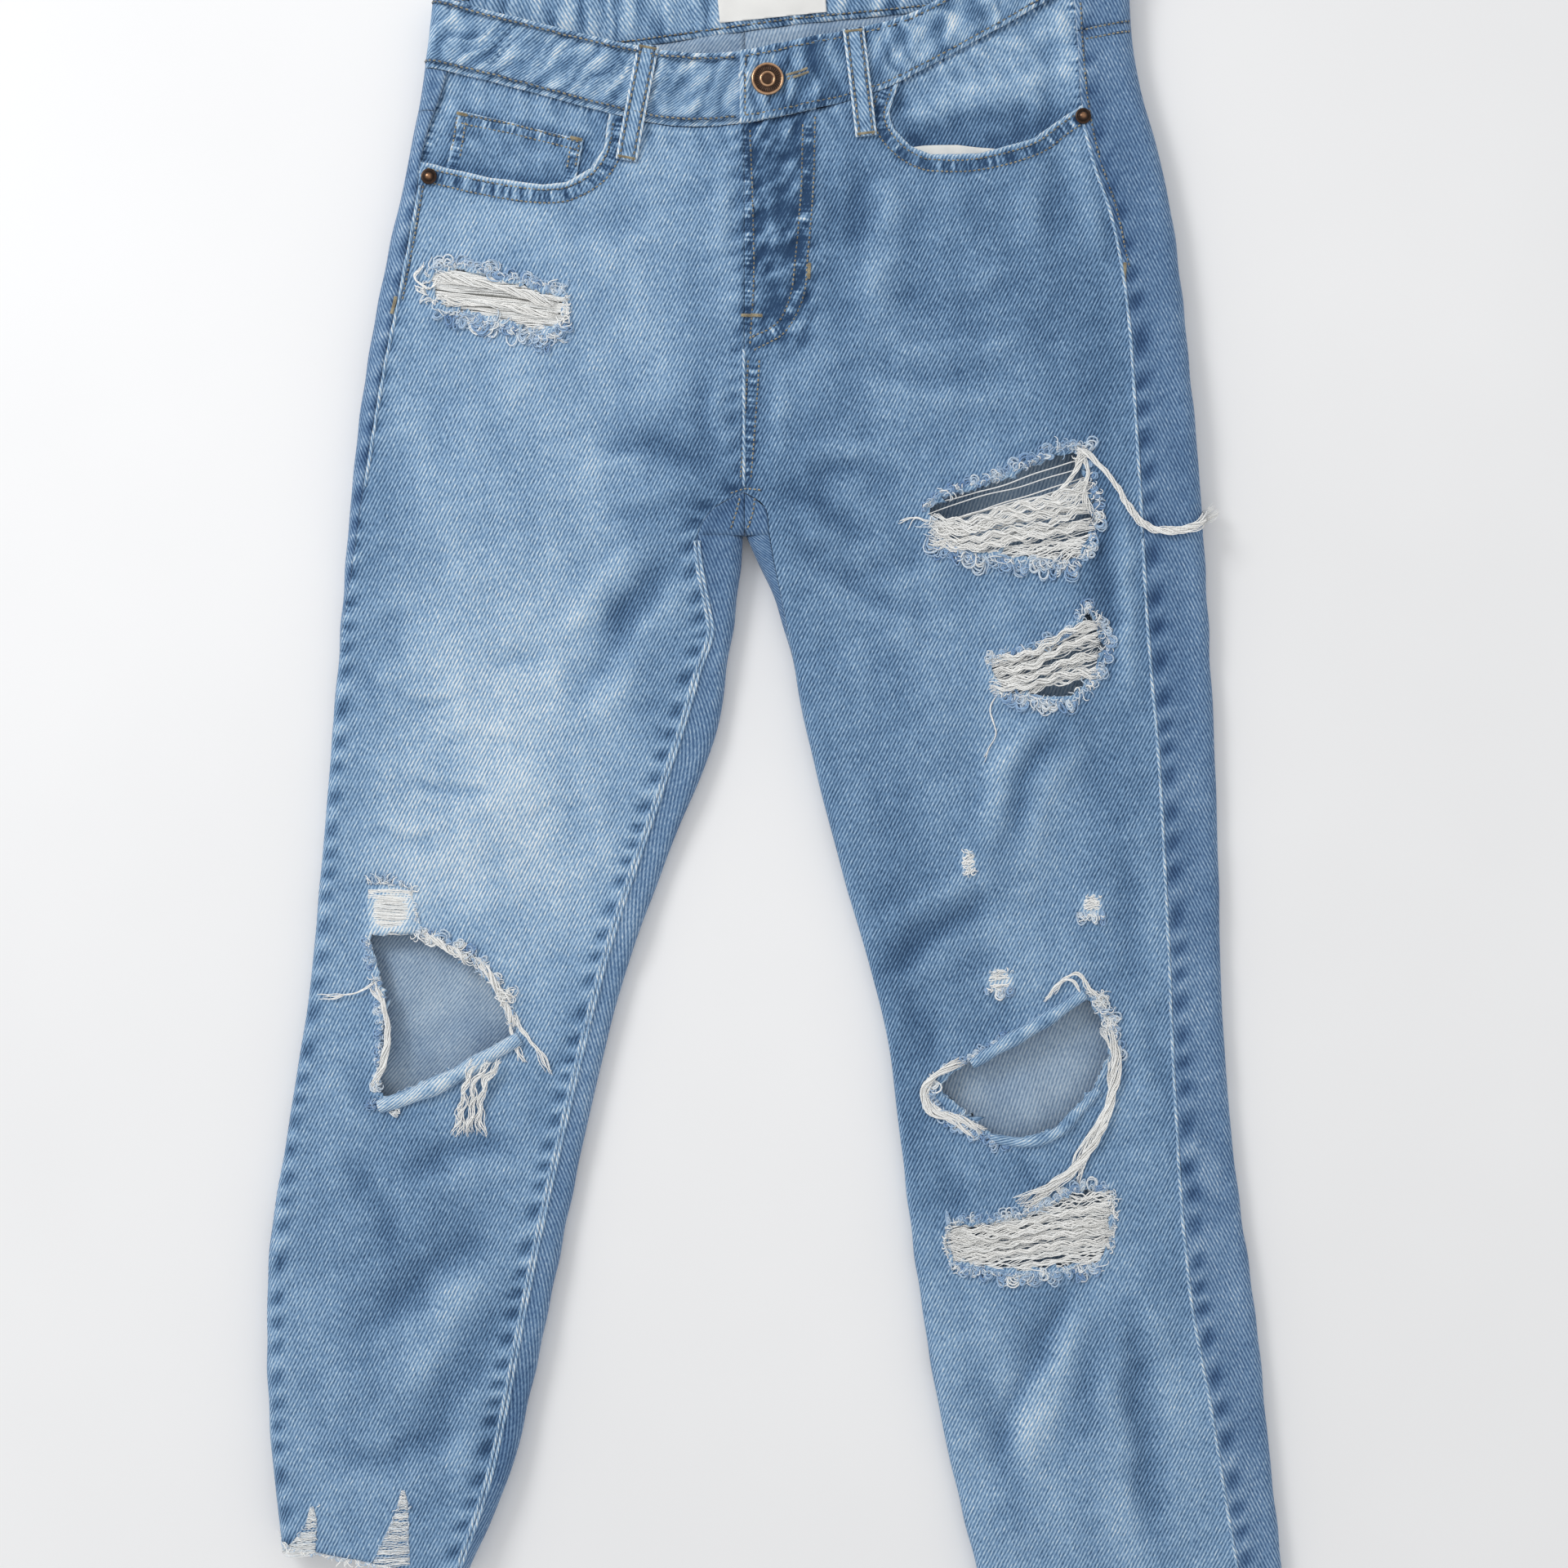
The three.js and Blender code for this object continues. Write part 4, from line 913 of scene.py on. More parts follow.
# the band's outer face at s (with the section worked out) and t, 0 at its lower edge and 1 at its upper one
def bandCloth(grid, t):
    p, out, s = grid["p"].copy(), grid["out"], grid["s"]
    up = smooth(out[..., 2], 0, 0.9)
    away = band["high"] * t
    lean = np.where(out[..., 2] < 0, 0.12, 0.55 * np.sin(s / 37))
    skew = s + lean * away + 5 * np.sin(s / 31) + 3 * np.sin(s / 13 + 1) + (1 + 3 * up) * ripple(s, away, 30,
                                                                                                 63)
    strong = 0.75 + 0.5 * np.exp(-((s + 150) / 60)**2) + 0.25 * ripple(s, away, 40, 61)
    beat = np.sin(2 * pi * skew / band["wave"]) + 0.6 * np.sin(2 * pi * skew / 6.3 + 1.3 * np.sin(away / 6))
    crown = 0.45 * (1 - (2 * t - 1)**8) - 0.25 * np.exp(-((away - 3.2) / 0.9)**2) \
        - 0.25 * np.exp(-((away - 34.5) / 0.9)**2)
    bump = band["pucker"] * strong * beat * smooth(t, 0, 0.15) * smooth(1 - t, 0, 0.12)
    bump += 0.35 * ripple(s, away, 14, 67) + crown + 0.5
    height = relief(p[..., 0], p[..., 1])[0]
    p += out * (up * bump)[..., None]
    p[..., 2] += smooth(-out[..., 2], 0, 0.9) * np.clip(0.8 * bump - 0.4, -0.1, 1.2) * smooth(t, 0, 0.1)
    p[..., 2] += up * 0.6 * height
    tab = smooth(-s, -band["foot"], -band["flat"])
    p[..., 2] += tab * band["lift"]
    edge = 0.20 * (np.exp(-(away / 1.5)**2) + np.exp(-((band["high"] - away) / 1.5)**2))
    tabEdge = 0.2 * np.exp(-((s - band["end"]) / 1.5)**2)
    dip = -0.10 * (np.exp(-((away - 3.6) / 1.6)**2) + np.exp(-((away - 34.2) / 1.6)**2))
    wear = band["baseWear"] + edge + tabEdge + dip + 0.15 * strong * beat * smooth(t, 0, 0.1)
    wear = wear + 0.14 * ripple(s, away * (0.3 + 0.4 * up), 13, 67)
    wear = wear - 0.22 * smooth(s, band["end"] + 2, 10) * smooth(-s, -70, -40)
    return p, out, wear


def bandEdges(s, t):  # the band bunches beside its two rows of stitching
    away = band["high"] * t
    close = 0.75 * np.exp(-((away - 1.2) / 2)**2) + 0.75 * np.exp(-((away - 36.6) / 2)**2)
    return pile(s + 500 * (t > 0.5), close, 0.0)


def bandPlace(row, p):  # from the band's lower edge at row 0 to its upper one at row 1
    return lerp(bandBottom(p), bandTop(p), row)


def bandEnds(y):  # stops of s from the button end round the back to the underlap
    ring = hip(y)
    under = ring["high"] + pi * ring["r"]
    return [band["end"], band["flat"], band["foot"], ring["high"], under, under + ring["flat"],
            ring["low"] + ring["around"], band["underlapEnd"] + ring["around"]]


rows = np.linspace(0, 1, band["rows"])
grid = clothGrid(hip, rows, bandEnds, band["steps"], bandPlace)
p, out, wear = bandCloth(grid, np.repeat(rows[:, None], grid["s"].shape[1], 1))
putMesh("waistband", p, gridFaces(*grid["s"].shape), [denimFront, denimFront], ["waistband"],
        pile(grid["s"], band["high"] * rows[:, None], 0.0), wear, body["band"],
        bandEdges(grid["s"], rows[:, None]))


def onBand(ends, t):  # points on the band between two s values at height t
    count = max(2, int(abs(ends[1] - ends[0]) / 2.9))
    g = clothGrid(hip, [0.0], lambda y: ends, [count], lambda row, q: bandPlace(t, q))
    q, n, _ = bandCloth(g, np.full(g["s"].shape, float(t)))
    return q[0], n[0]


sewn = dict(tan=[], gold=[], rows=[])
stitch = dict(pitch=2.5, length=0.72, half=0.42, high=0.52, sink=0.12)


# one stitch over each step of the points: a tapered bar of two square rings and two sunk tips
def stitchAlong(p, n, thread="tan", half=stitch["half"], length=stitch["length"], high=stitch["high"]):
    if len(p) > 2:
        sewn["rows"].append((p, n))
    a, b, up = p[:-1], p[:-1] + (p[1:] - p[:-1]) * length, n[:-1]
    way = b - a
    side = unit(np.cross(way, up))
    verts = [a - up * stitch["sink"]]
    for t in (0.22, 0.78):
        middle = a + way * t
        for sx, sz in ((-1, 0), (0, 1), (1, 0), (0, -0.3)):
            verts.append(middle + side * half * sx + up * (high * sz))
    verts.append(b - up * stitch["sink"])
    sewn[thread].append(np.stack(verts, 1))


def sewOnto(line, thread="tan"):  # a row of stitches along (s, y) points on the draped hip
    pts = resample(line, stitch["pitch"])
    q, n = onBody(hip, pts[:, 1], pts[:, 0])
    stitchAlong(drapeCloth(q, n)[0] + n * 0.1, n, thread)


def sewFlat(line, z, thread="tan",
            up=1.0):  # a row of stitches along (x, y) points at height z, facing up or down
    pts = resample(line, stitch["pitch"])
    level = z(pts[:, 0], pts[:, 1]) if callable(z) else z
    stitchAlong(pile(pts[:, 0], pts[:, 1], level), np.tile([0.0, 0.0, up], (len(pts), 1)), thread)


# a bartack: close zigzag stitches across a short line
def bartack(start, end, z, width=2.2, thread="gold", up=1.0):
    a, b = np.array(start, float), np.array(end, float)
    count = int(np.hypot(*(b - a)) / 0.42)
    side = leftOf(unit(b - a)[None])
    t = np.repeat(np.linspace(0, 1, count), 2)
    sign = np.where(np.arange(len(t)) % 2, 1, -1)
    xy = a + (b - a) * t[:, None] + side * (sign * width / 2)[:, None]
    level = z(xy[:, 0], xy[:, 1]) if callable(z) else z
    for pair in pile(xy[:, 0], xy[:, 1], level + 0.25 * up).reshape(-1, 2, 3):
        stitchAlong(pair, np.tile([0.0, 0.0, up], (2, 1)), thread, half=0.26, length=1.0, high=0.4)


waist = hip(400.0)
for t in band["seams"]:
    for ends in ((band["end"] + 3, waist["high"] + 20), (waist["low"] - 20, band["end"] - 2)):
        q, n = onBand(ends, t)
        stitchAlong(q + n * 0.05, n)
tabRow = np.linspace(*band["seams"], 12)[None]
g = clothGrid(hip, [0.0], lambda y: [band["end"] + 3.0, band["end"] + 3.01], [11], lambda row,
              q: bandPlace(tabRow, q))
q, n, _ = bandCloth(g, tabRow)
stitchAlong(q[0] + n[0] * 0.05, n[0])
# the back of the band: rows outside underneath, and the gold rows that show inside it
for t in band["seams"]:
    q, n = onBand((waist["high"] + 22, waist["low"] - 22 + waist["around"]), t)
    stitchAlong(q + n * 0.05, n)
    stitchAlong(q - n * (body["band"] + 0.12), -n, "gold")

for line in (flyEdge, jInner, jOuter, *crotchRows, *mouthRows):
    line = [q for q in np.array(line) if q[0] > outerRight(q[1]) + 9 and q[1] < bandBottomFront(q[0]) - 1.5
            and q[0] < outseamLeft(q[1]) - 1.5]
    sewOnto(line)
sewOnto([(-24, 146.5), (-16, 148.8), (-7, 148.2)], "gold")
sewOnto([(-19, 144), (-21, 136), (-24, 127)], "gold")
sewOnto([(-11, 144), (-12, 136), (-15, 127)], "gold")
sewOnto([(outseamLeft(y) + 3.2, y) for y in (410, 365, 330, 300, 268)])
sewOnto([(outseamRight(y) + 3, y) for y in (312, 290, 268, 250)])
for low in (0, 5.5):  # yoke seam on the wearer's left, and round underneath
    sewOnto([(s, 396.5 - low + 0.2 * (s - 168)) for s in (167, 176, 186, 193)])
    for side, start in ((underRight, -170), (underLeft, 8)):
        xs = np.linspace(start, start + 150, 24)
        sewOnto([(side(x)(yokeLine(x) + 2 + low), yokeLine(x) + 2 + low) for x in xs[::-1]])
for off in (-1.5, -7):  # seat seam
    sewOnto([(underLeft(-16.5 - off)(y), y) for y in np.linspace(160, 330, 18)])


for start, end in (((-18, 242), (-7, 242)), ((18.5, 270), (18, 262)), ((188, 270), (187.5, 260)),
                   ((-204, 252), (-206, 243))):
    bartack(start, end, lambda x, y: topZ(x, y) + 0.3)
print("seams sewn")

loop = dict(width=11.5, wall=1.35, arch=dict(front=1.6, back=0.15), stand=0.35,
            front=dict(belt_loop_front_right=[(-80, 325), (-68, 387)],
                       belt_loop_front_left=[(49, 338), (42, 396)]),
            back=dict(belt_loop_back_right=[(-112, 377), (-110, 431)],
                      belt_loop_back_centre=[(-16, 387), (-18, 438)],
                      belt_loop_back_left=[(104, 400), (102, 454)]))


# a closed outline carried along a path: ring point = path + side * u + up * v, with the ends closed
def sweep(path, side, up, profile):
    ring = path[:, None] + side[:, None] * profile[..., 0:1] + up[:, None] * profile[..., 1:2]
    rows, count = ring.shape[:2]
    i = np.arange(rows * count).reshape(rows, count)
    turned = np.roll(i, -1, 1)
    faces = np.stack([i[:-1], i[1:], turned[1:], turned[:-1]], -1).reshape(-1, 4).tolist()
    return ring, faces + [i[0].tolist(), i[-1, ::-1].tolist()]


def roundedBar(width, wall, count=20):  # a flat bar with round edges: superellipse
    turn = np.linspace(0, 2 * pi, count, endpoint=False)
    c, s = np.cos(turn), np.sin(turn)
    return np.stack([width / 2 * np.sign(c) * np.abs(c)**0.35, wall / 2 * np.sign(s) * np.abs(s)**0.6], -1)


# a belt loop: the rounded bar arched off the band between its ends, two rows of stitches and a bartack at
# each end
def makeLoop(name, ends, face):
    a, b = np.array(ends, float)
    t = np.linspace(0, 1, 34)
    way = unit(b - a)
    up = 1.0 if face == "front" else -1.0
    middle = a + (b - a) * t[:, None]
    arch = loop["arch"][face] * np.sin(pi * t)**2 * (1 + 0.25 * np.sin(t * 9))
    if face == "front":
        level = 18.9 + loop["stand"] + loop["wall"] / 2 + arch + 0.25 * relief(middle[:, 0], middle[:, 1])[0]
    else:
        level = 2 - loop["stand"] - loop["wall"] / 2 - arch + 0.05
    path = np.column_stack([middle, level])
    side = np.tile([way[1], -way[0], 0], (len(t), 1)) * up
    normal = np.tile([0, 0, up], (len(t), 1))
    bar = roundedBar(loop["width"], loop["wall"])
    ring, faces = sweep(path, side, normal, np.tile(bar, (len(t), 1, 1)))
    u = np.tile(np.cumsum(np.r_[0, np.linalg.norm(np.diff(bar, axis=0), axis=1)]), (len(t), 1))
    v = np.tile((t * np.hypot(*(b - a)))[:, None], (1, len(bar)))
    off = np.abs(bar[:, 0])
    wear = 0.55 + 0.32 * smooth(off, 4.2, 5.4) - 0.10 * np.exp(-((off - 3.4) / 0.9)**2) + 0.07 * ripple(u, v, 9, 71)
    putMesh(name, ring, faces, [denimFront], [name], pile(u, v, 0.0), wear)
    for off in (-3.6, 3.6):
        line = path + side * off + normal * (loop["wall"] / 2 + 0.08)
        pts = np.stack([np.interp(np.linspace(0, 1, 20), t, line[:, k]) for k in range(3)], 1)
        stitchAlong(pts, normal[:20])
    for end, at in ((0, 1.5), (-1, -1.5)):
        centre = path[end] + np.r_[way, 0] * at
        across = side[0][:2] * 4.6
        bartack(centre[:2] - across, centre[:2] + across, centre[2] + up * (loop["wall"] / 2 - 0.1), 1.6,
                "gold", up)


for face in ("front", "back"):
    for name, ends in loop[face].items():
        makeLoop(name, ends, face)


# bars joined as one piece: each is (ring of points, faces, lengths)
def putBars(name, bars, wearAt):
    faces, start = [], 0
    for ring, cells, _ in bars:
        faces += [[v + start for v in cell] for cell in cells]
        start += ring.size // 3
    p = np.concatenate([ring.reshape(-1, 3) for ring, _, _ in bars])
    lengths = np.concatenate([length.reshape(-1, 3) for _, _, length in bars])
    putMesh(name, p, faces, [denimFront], (), lengths, wearAt(lengths[:, 1]))


# felled seams stand up as rounded cords beside the joined edges: a low bar carried along s, y on a section
cords = dict(
    seam_inseam_right=[dict(at=lambda y: inseamRightOnTop(y) - 1.15, low=-438, high=121, tube=legRight),
                       dict(at=lambda y: inseamRightOnTop(y) + 1.15, low=-438, high=121, tube=legRight)],
    seam_outseam_left=[dict(at=lambda y: outseamLeft(y) - 0.9, low=-442, high=122, tube=legLeft),
                       dict(at=lambda y: outseamLeft(y) - 0.9, low=125, high=345, tube=hip)],
    seam_outseam_right=[dict(at=lambda y: outseamRight(y) + 1.0, low=150, high=312, tube=hip)],
    seam_rise=[dict(at=lambda y: -16.8 + 0 * y, low=150, high=224, tube=hip)])
turn = np.linspace(0, 2 * pi, 8, endpoint=False)
for name, runs in cords.items():
    bars = []
    for run in runs:
        ys = spread(run["low"], run["high"], 2.0)
        q, n = onBody(run["tube"], ys, run["at"](ys))
        q = drapeCloth(q, n)[0] + n * 0.15
        side = unit(np.cross(unit(np.gradient(q, axis=0)), n))
        oval = pile(np.cos(turn), np.sin(turn) * 0.75)[None] * (0.85 + 0.12 * np.sin(ys / 5.1))[:, None, None]
        bars.append((*sweep(q, side, n, oval), pile(turn[None] * 0.8, ys[:, None], 0.0)))
    putBars(name, bars, lambda along: 0.66 + 0.08 * np.sin(along / 3.1))

facingRight = [(-82, 351), (-84, 326), (-98, 305), (-125, 300), (-160, 303), (-195, 311), (-192, 330),
               (-188, 350),
               (-184, 366), (-182, 380), (-154, 374), (-125, 365)]
facingLeft = [(54, 366), (54, 344), (66, 326), (84, 317), (112, 317), (142, 324), (172, 334), (169, 352),
              (167, 372),
              (165, 399), (162, 424), (140, 413), (125, 404), (103, 392), (81, 379), (66, 372)]
coinOutline = [(-179, 312), (-170, 352.5), (-103, 336.5), (-109, 306)]
bagRight = [(-84, 340), (-86, 250), (-110, 222), (-165, 222), (-190, 245), (-188, 300), (-184, 345)]
bagLeft = [(56, 350), (58, 250), (80, 222), (150, 222), (176, 245), (168, 300), (160, 352)]
pocketFolds = [([(74, 350), (92, 356), (118, 364), (146, 372)], 1.5, 7),
               ([(78, 340), (104, 344), (134, 352)], -1.7, 6),
               ([(96, 380), (122, 388), (150, 396)], 0.9, 7), ([(64, 366), (68, 350), (76, 338)], -1.8, 5),
               ([(150, 352), (146, 378), (138, 402)], -1.2, 5),
               ([(160, 356), (157, 384), (152, 408)], 1.2, 5),
               ([(104, 336), (126, 338), (146, 346)], -1.0, 5),
               ([(-172, 346), (-140, 338), (-108, 330)], 0.5, 4),
               ([(-172, 332), (-140, 326), (-114, 322)], 0.6, 4),
               ([(-176, 318), (-184, 340), (-182, 362)], -0.8, 4)]


# a sheet cut to an outline: a square grid, its points outside the outline moved on to it
# as height z, under the relief of the front when shown is true and nearly flat when it isn't
def cutSheet(name, outline, z, materials, slot, step=1.9, wall=0.9, wear=0.5, local=1.0, up=1, shown=True):
    pts = np.array(outline, float)
    low, high = pts.min(0) - step * 2, pts.max(0) + step * 2
    x, y = np.meshgrid(spread(low[0], high[0], step), spread(low[1], high[1], step))
    faces = gridFaces(*x.shape)[:, ::up]
    p = pile(x.ravel(), y.ravel(), 0.0).copy()
    away = toLine(p[:, 0], p[:, 1], outline + [outline[0]])[0]
    p, faces = openCloth(p, faces, lambda a, b: -insideBy(a, b, outline), np.ones(len(p), bool))
    x, y = p[:, 0], p[:, 1]
    if shown:
        height, fadeAndShade = relief(x, y)
        folds = sum(rise * np.exp(-(toLine(x, y, line)[0] / width)**2) for line, rise, width in pocketFolds)
        fromMouth = np.minimum(toLine(x, y, mouthRight)[0], toLine(x, y, mouthLeft)[0])
        clear = smooth(fromMouth, 1.0, 5.0) * np.where(y > bandBottomFront(x) - 3, 0.2, 1.0)
        rough = ripple(x, y, 15, 73)
        p[:, 2] = z + height + local * clear * (np.clip(folds, -1.6, 1.6) + 0.35 * rough)
        # paleness here is the wear plus painted shade: the pocket folds and ripples lighter where raised and darker
        # where sunk, and painted shadow along the pocket mouths
        paleness = wear + 0.4 * fadeAndShade + 0.08 * local * folds + 0.06 * rough - 0.16 * np.exp(-(fromMouth / 7)**2) \
            + 0.20 * np.exp(-(away / 1.3)**2)
        if name == "coin_pocket":  # bunched between its two rows, worn pale along the turned edge
            paleness = paleness + 0.20 * np.exp(-(away / 1.8)**2) - 0.12
        else:
            # pieces right of x 60 are made darker below y 368; then painted shadow round the coin pocket, with a faint
            # painted highlight band just beyond it
            coin = toLine(x, y, coinOutline + coinOutline[:1])[0]
            paleness = paleness - 0.16 * smooth(x, 60, 80) * smooth(368 - y, 0, 24)
            paleness = paleness - 0.22 * np.exp(-(coin / 3.5)**2) + 0.05 * np.exp(-((coin - 9) / 4)**2)
    else:
        p[:, 2] = z + up * 0.25 * (local * ripple(x, y, 17, 73) - 1)
        paleness = wear + 0.05 * ripple(x, y, 25, 79) + 0.16 * np.exp(-(away / 1.4)**2)
    nodes = [name] if name in frame["nodes"] else []
    away, along, _ = toLine(x, y, outline + [outline[0]])
    amount = 0.9 if "pocket" in name and "bag" not in name else 0.0
    bunch = pile(along, amount * np.exp(-((away - 3.6) / 2.6)**2), 0.0)
    putMesh(name, p, faces, materials, nodes, pile(x, y, 0.0), paleness, wall, bunch)


pocketDenim, pocketing = ([denimPocket, denimInside], "denim_pocket"), ([pocketCotton] * 2, "pocketing")
cutSheet("pocket_facing_right", facingRight, 16.0, *pocketDenim, wear=0.46, local=0.6)
cutSheet("pocket_facing_left", facingLeft, 16.0, *pocketDenim, wear=0.52)
cutSheet("coin_pocket", coinOutline, 17.1, *pocketDenim, step=1.1, wear=0.46, wall=0.7, local=0.5)
cutSheet("pocket_bag_right", bagRight, 14.2, *pocketing, step=2.6, wall=0.6, local=0.3)
cutSheet("pocket_bag_left", bagLeft, 14.2, *pocketing, step=2.6, wall=0.6, local=0.3)
cutSheet("pocket_bag_lip", [(71, 332), (80, 333.8), (98, 334.0), (122, 331.0), (118, 322), (76, 320)], 16.9,
         *pocketing, step=1.2, wall=0.4, wear=0.6, local=0.0)
cutSheet("zip_tape", [(-32, 226), (-4, 226), (-4, 343), (-32, 343)], 13.6, [tapeCotton, tapeCotton],
         "zip_tape",
         step=2.0, wall=0.8, local=0.2, shown=False)
cutSheet("fly_shield", [(-40, 232), (-34, 222), (2, 222), (2, 343), (-40, 343)], 12.4, *pocketDenim, step=2.6,
         local=0.3, shown=False)
for name, x, y, side in (("back_pocket_right", -112, 256, -0.6), ("back_pocket_left", 84, 262, -1)):
    outline = [(x - 68, y + 72 + 6 * side), (x - 62, y - 48), (x, y - 76), (x + 62, y - 48),
               (x + 68, y + 72 - 6 * side)]
    cutSheet(name, outline, 0.35, [denimBack, denimInside], "denim_back", step=3.0, wall=1.0, up=-1,
             shown=False)
    centre = np.mean(outline, 0)
    for inset in (2.2, 7.5):
        shrunk = centre + (np.array(outline) - centre) * (1 - inset / 62)
        for a, b in zip(shrunk[:-1], shrunk[1:]):
            sewFlat([a, (a + b) / 2, b], 0.22, up=-1.0)
    for inset in (3, 12):
        sewFlat([(x - 64, y + 72 + 6 * side - inset), (x, y + 72 - inset),
                 (x + 64, y + 72 - 6 * side - inset)], 0.22,
                up=-1.0)
cutSheet("label", [(-30, 403), (28, 409), (26, 431), (-32, 425)], 5.5, [labelCotton, labelCotton], "label",
         step=1.2,
         wall=0.5, local=0.6, shown=False)


def coinZ(x, y):  # just above the coin pocket
    return 17.1 + relief(x, y)[0] + 0.2


for line in ([(-169, 350.5), (-136, 343.6), (-105, 335.4)], [(-169, 345.5), (-136, 338.6), (-106, 331)]):
    sewFlat(line, coinZ)
for a, b in (((-171, 349), (-174, 330)), ((-166.5, 346), (-169.5, 327)), ((-105.5, 334), (-107.5, 322)),
             ((-110, 333), (-112, 321))):
    sewFlat([a, np.add(a, b) / 2, b], coinZ, "gold")
bartack((-171, 351), (-166, 349.8), coinZ)
bartack((-110, 338), (-104, 336.5), coinZ)
print("pockets made")

# the buttonhole: gold stitches side by side out from both edges of the slit
holePath = resample([(6.5, 369.4), (12, 371), (17.5, 373)], 0.55)
aside = leftOf(unit(np.gradient(holePath, axis=0)))
tabZ = body["hipTop"] + band["lift"] + 1.35
for sign in (-1, 1):
    for a, b in zip(holePath + aside * 0.25 * sign, holePath + aside * 1.9 * sign):
        stitchAlong(np.array([[*a, tabZ], [*b, tabZ - 0.1]]), np.tile([0, 0, 1.0], (2, 1)), "gold", half=0.28,
                    length=1.0, high=0.5)

stitchShape = np.array([[0, 2, 1], [0, 3, 2], [0, 4, 3], [0, 1, 4], [5, 6, 9], [6, 7, 9], [7, 8, 9],
                        [8, 5, 9]])
stitchSides = np.array([[1, 2, 6, 5], [2, 3, 7, 6], [3, 4, 8, 7], [4, 1, 5, 8]])


def makeStitches(name, sets, material):  # all the stitches of one thread as a single mesh
    v = np.concatenate(sets)
    start = np.arange(len(v))[:, None, None] * 10
    faces = (start + stitchShape).reshape(-1, 3).tolist() + (start + stitchSides).reshape(-1, 4).tolist()
    along = np.linspace(0, 3, 10)[None] + np.arange(len(v))[:, None] * 3.1
    wear = 0.5 + 0.25 * np.sin(np.arange(len(v)) * 0.37)[:, None] + 0 * along
    putMesh(name, v, faces, [material], (), pile(0.0, along, 0.0), wear)


# the channel under each row, pulled in by the thread: a shallow diamond bar along it in dark denim, partly
# the dye kept in the groove and partly painted shadow of the groove
def makeChannelDyeAndShadow(name, rows):
    shape = np.array([[0.8, -0.1], [0, 0.05], [-0.8, -0.1], [0, -0.5]])
    bars = []
    for p, n in rows:
        side = unit(np.cross(np.gradient(p, axis=0), n))
        lengths = pile(shape[None, :, 0], np.arange(len(p))[:, None] * stitch["pitch"], 0.0)
        bars.append((*sweep(p, side, n, np.tile(shape, (len(p), 1, 1))), lengths))
    putBars(name, bars, lambda along: 0.16 + 0.12 * np.sin(along / 4.3))


# three-sided tubes round many paths at once, thinning to their ends; tone is wear, 0 blue to 1 white
def tubes(paths, radius, tone, sides=3, taper=0.5):
    n, m = paths.shape[:2]
    way = unit(np.gradient(paths, axis=1))
    side = unit(np.cross(way, np.array([0, 0, 1.0])))
    up = np.cross(side, way)
    t = np.linspace(0, 1, m)
    thin = (1 - taper * np.abs(2 * t - 1)**6)[None, :, None, None] * np.reshape(radius, (-1, 1, 1, 1))
    turn = np.arange(sides) * 2 * pi / sides + pi / 6
    ring = (side[:, :, None] * np.cos(turn)[None, None, :, None]
            + up[:, :, None] * np.sin(turn)[None, None, :, None])
    v = paths[:, :, None] + ring * thin
    length = np.cumsum(np.r_[0, np.linalg.norm(np.diff(paths, axis=1), axis=2).mean(0)])
    cloth = pile(turn[None, None] * 0.5, length[None, :, None], np.arange(n)[:, None, None] * 7.3)
    i = np.arange(n * m * sides).reshape(n, m, sides)
    j = np.roll(i, -1, 2)
    quads = np.stack([i[:, :-1], i[:, 1:], j[:, 1:], j[:, :-1]], -1).reshape(-1, 4)
    caps = np.concatenate([i[:, 0], i[:, -1, ::-1]])
    wear = np.broadcast_to(np.asarray(tone, float)[:, None, None], v.shape[:3])
    return dict(v=v.reshape(-1, 3), quads=quads, caps=caps, cloth=cloth.reshape(-1, 3), wear=wear.ravel())


loose = {}


def addThreads(name, paths, radius, tone):  # kept by name, and joined as one mesh at the end
    paths = np.asarray(paths, float)
    tone = np.broadcast_to(tone, (len(paths),))
    loose.setdefault(name, []).append(tubes(paths, np.broadcast_to(radius, (len(paths),)), tone))


# short threads standing from an edge: heading turns steadily along each one; roots are spread at random
def fringe(name, edge, count, length, heading, swing, curl, tone, seed, lifted=0.5, hop=1.3, radius=0.31,
           m=11,
           clump=0):
    rng = np.random.default_rng(seed)
    line = resample(edge, 0.5)
    count = int(count * 0.45)
    at = np.sort(rng.uniform(0, len(line) - 1.001, count))
    if clump:  # drawn together in tufts
        at = lerp(at, np.clip((np.round(at / clump) + 0.3 * rng.normal(size=count)) * clump, 0,
                              len(line) - 1.01), 0.7)
    k = at.astype(int)
    root = line[k] + (line[k + 1] - line[k]) * (at - k)[:, None]
    size = rng.uniform(*length, count) * (0.75 + 0.35 * np.sin(at / 11 + seed))
    start = math.radians(heading) + math.radians(swing) * rng.normal(size=count)
    bend = rng.choice([-1, 1], count) * curl * rng.uniform(0.5, 1.5, count) + 0.3 * curl * np.sin(at / 7)
    t = np.linspace(0, 1, m)
    angle = start[:, None] + bend[:, None] * t**1.3 + 0.35 * np.sin(t * 9 + rng.uniform(0, 6, (count, 1)))
    step = (size / (m - 1))[:, None]
    x = root[:, 0:1] + np.cumsum(np.cos(angle) * step, 1) - np.cos(angle[:, :1]) * step * 2
    y = root[:, 1:2] + np.cumsum(np.sin(angle) * step, 1) - np.sin(angle[:, :1]) * step * 2
    z = topZ(x, y) + lifted * smooth(t, 0, 0.3) + hop * rng.uniform(0.2, 1.6, (count, 1)) * np.sin(pi * t)
    tones = rng.uniform(*tone, count) + 0.12
    addThreads(name, np.stack([x, y, z], -1), radius * rng.uniform(0.8, 1.25, count), tones)


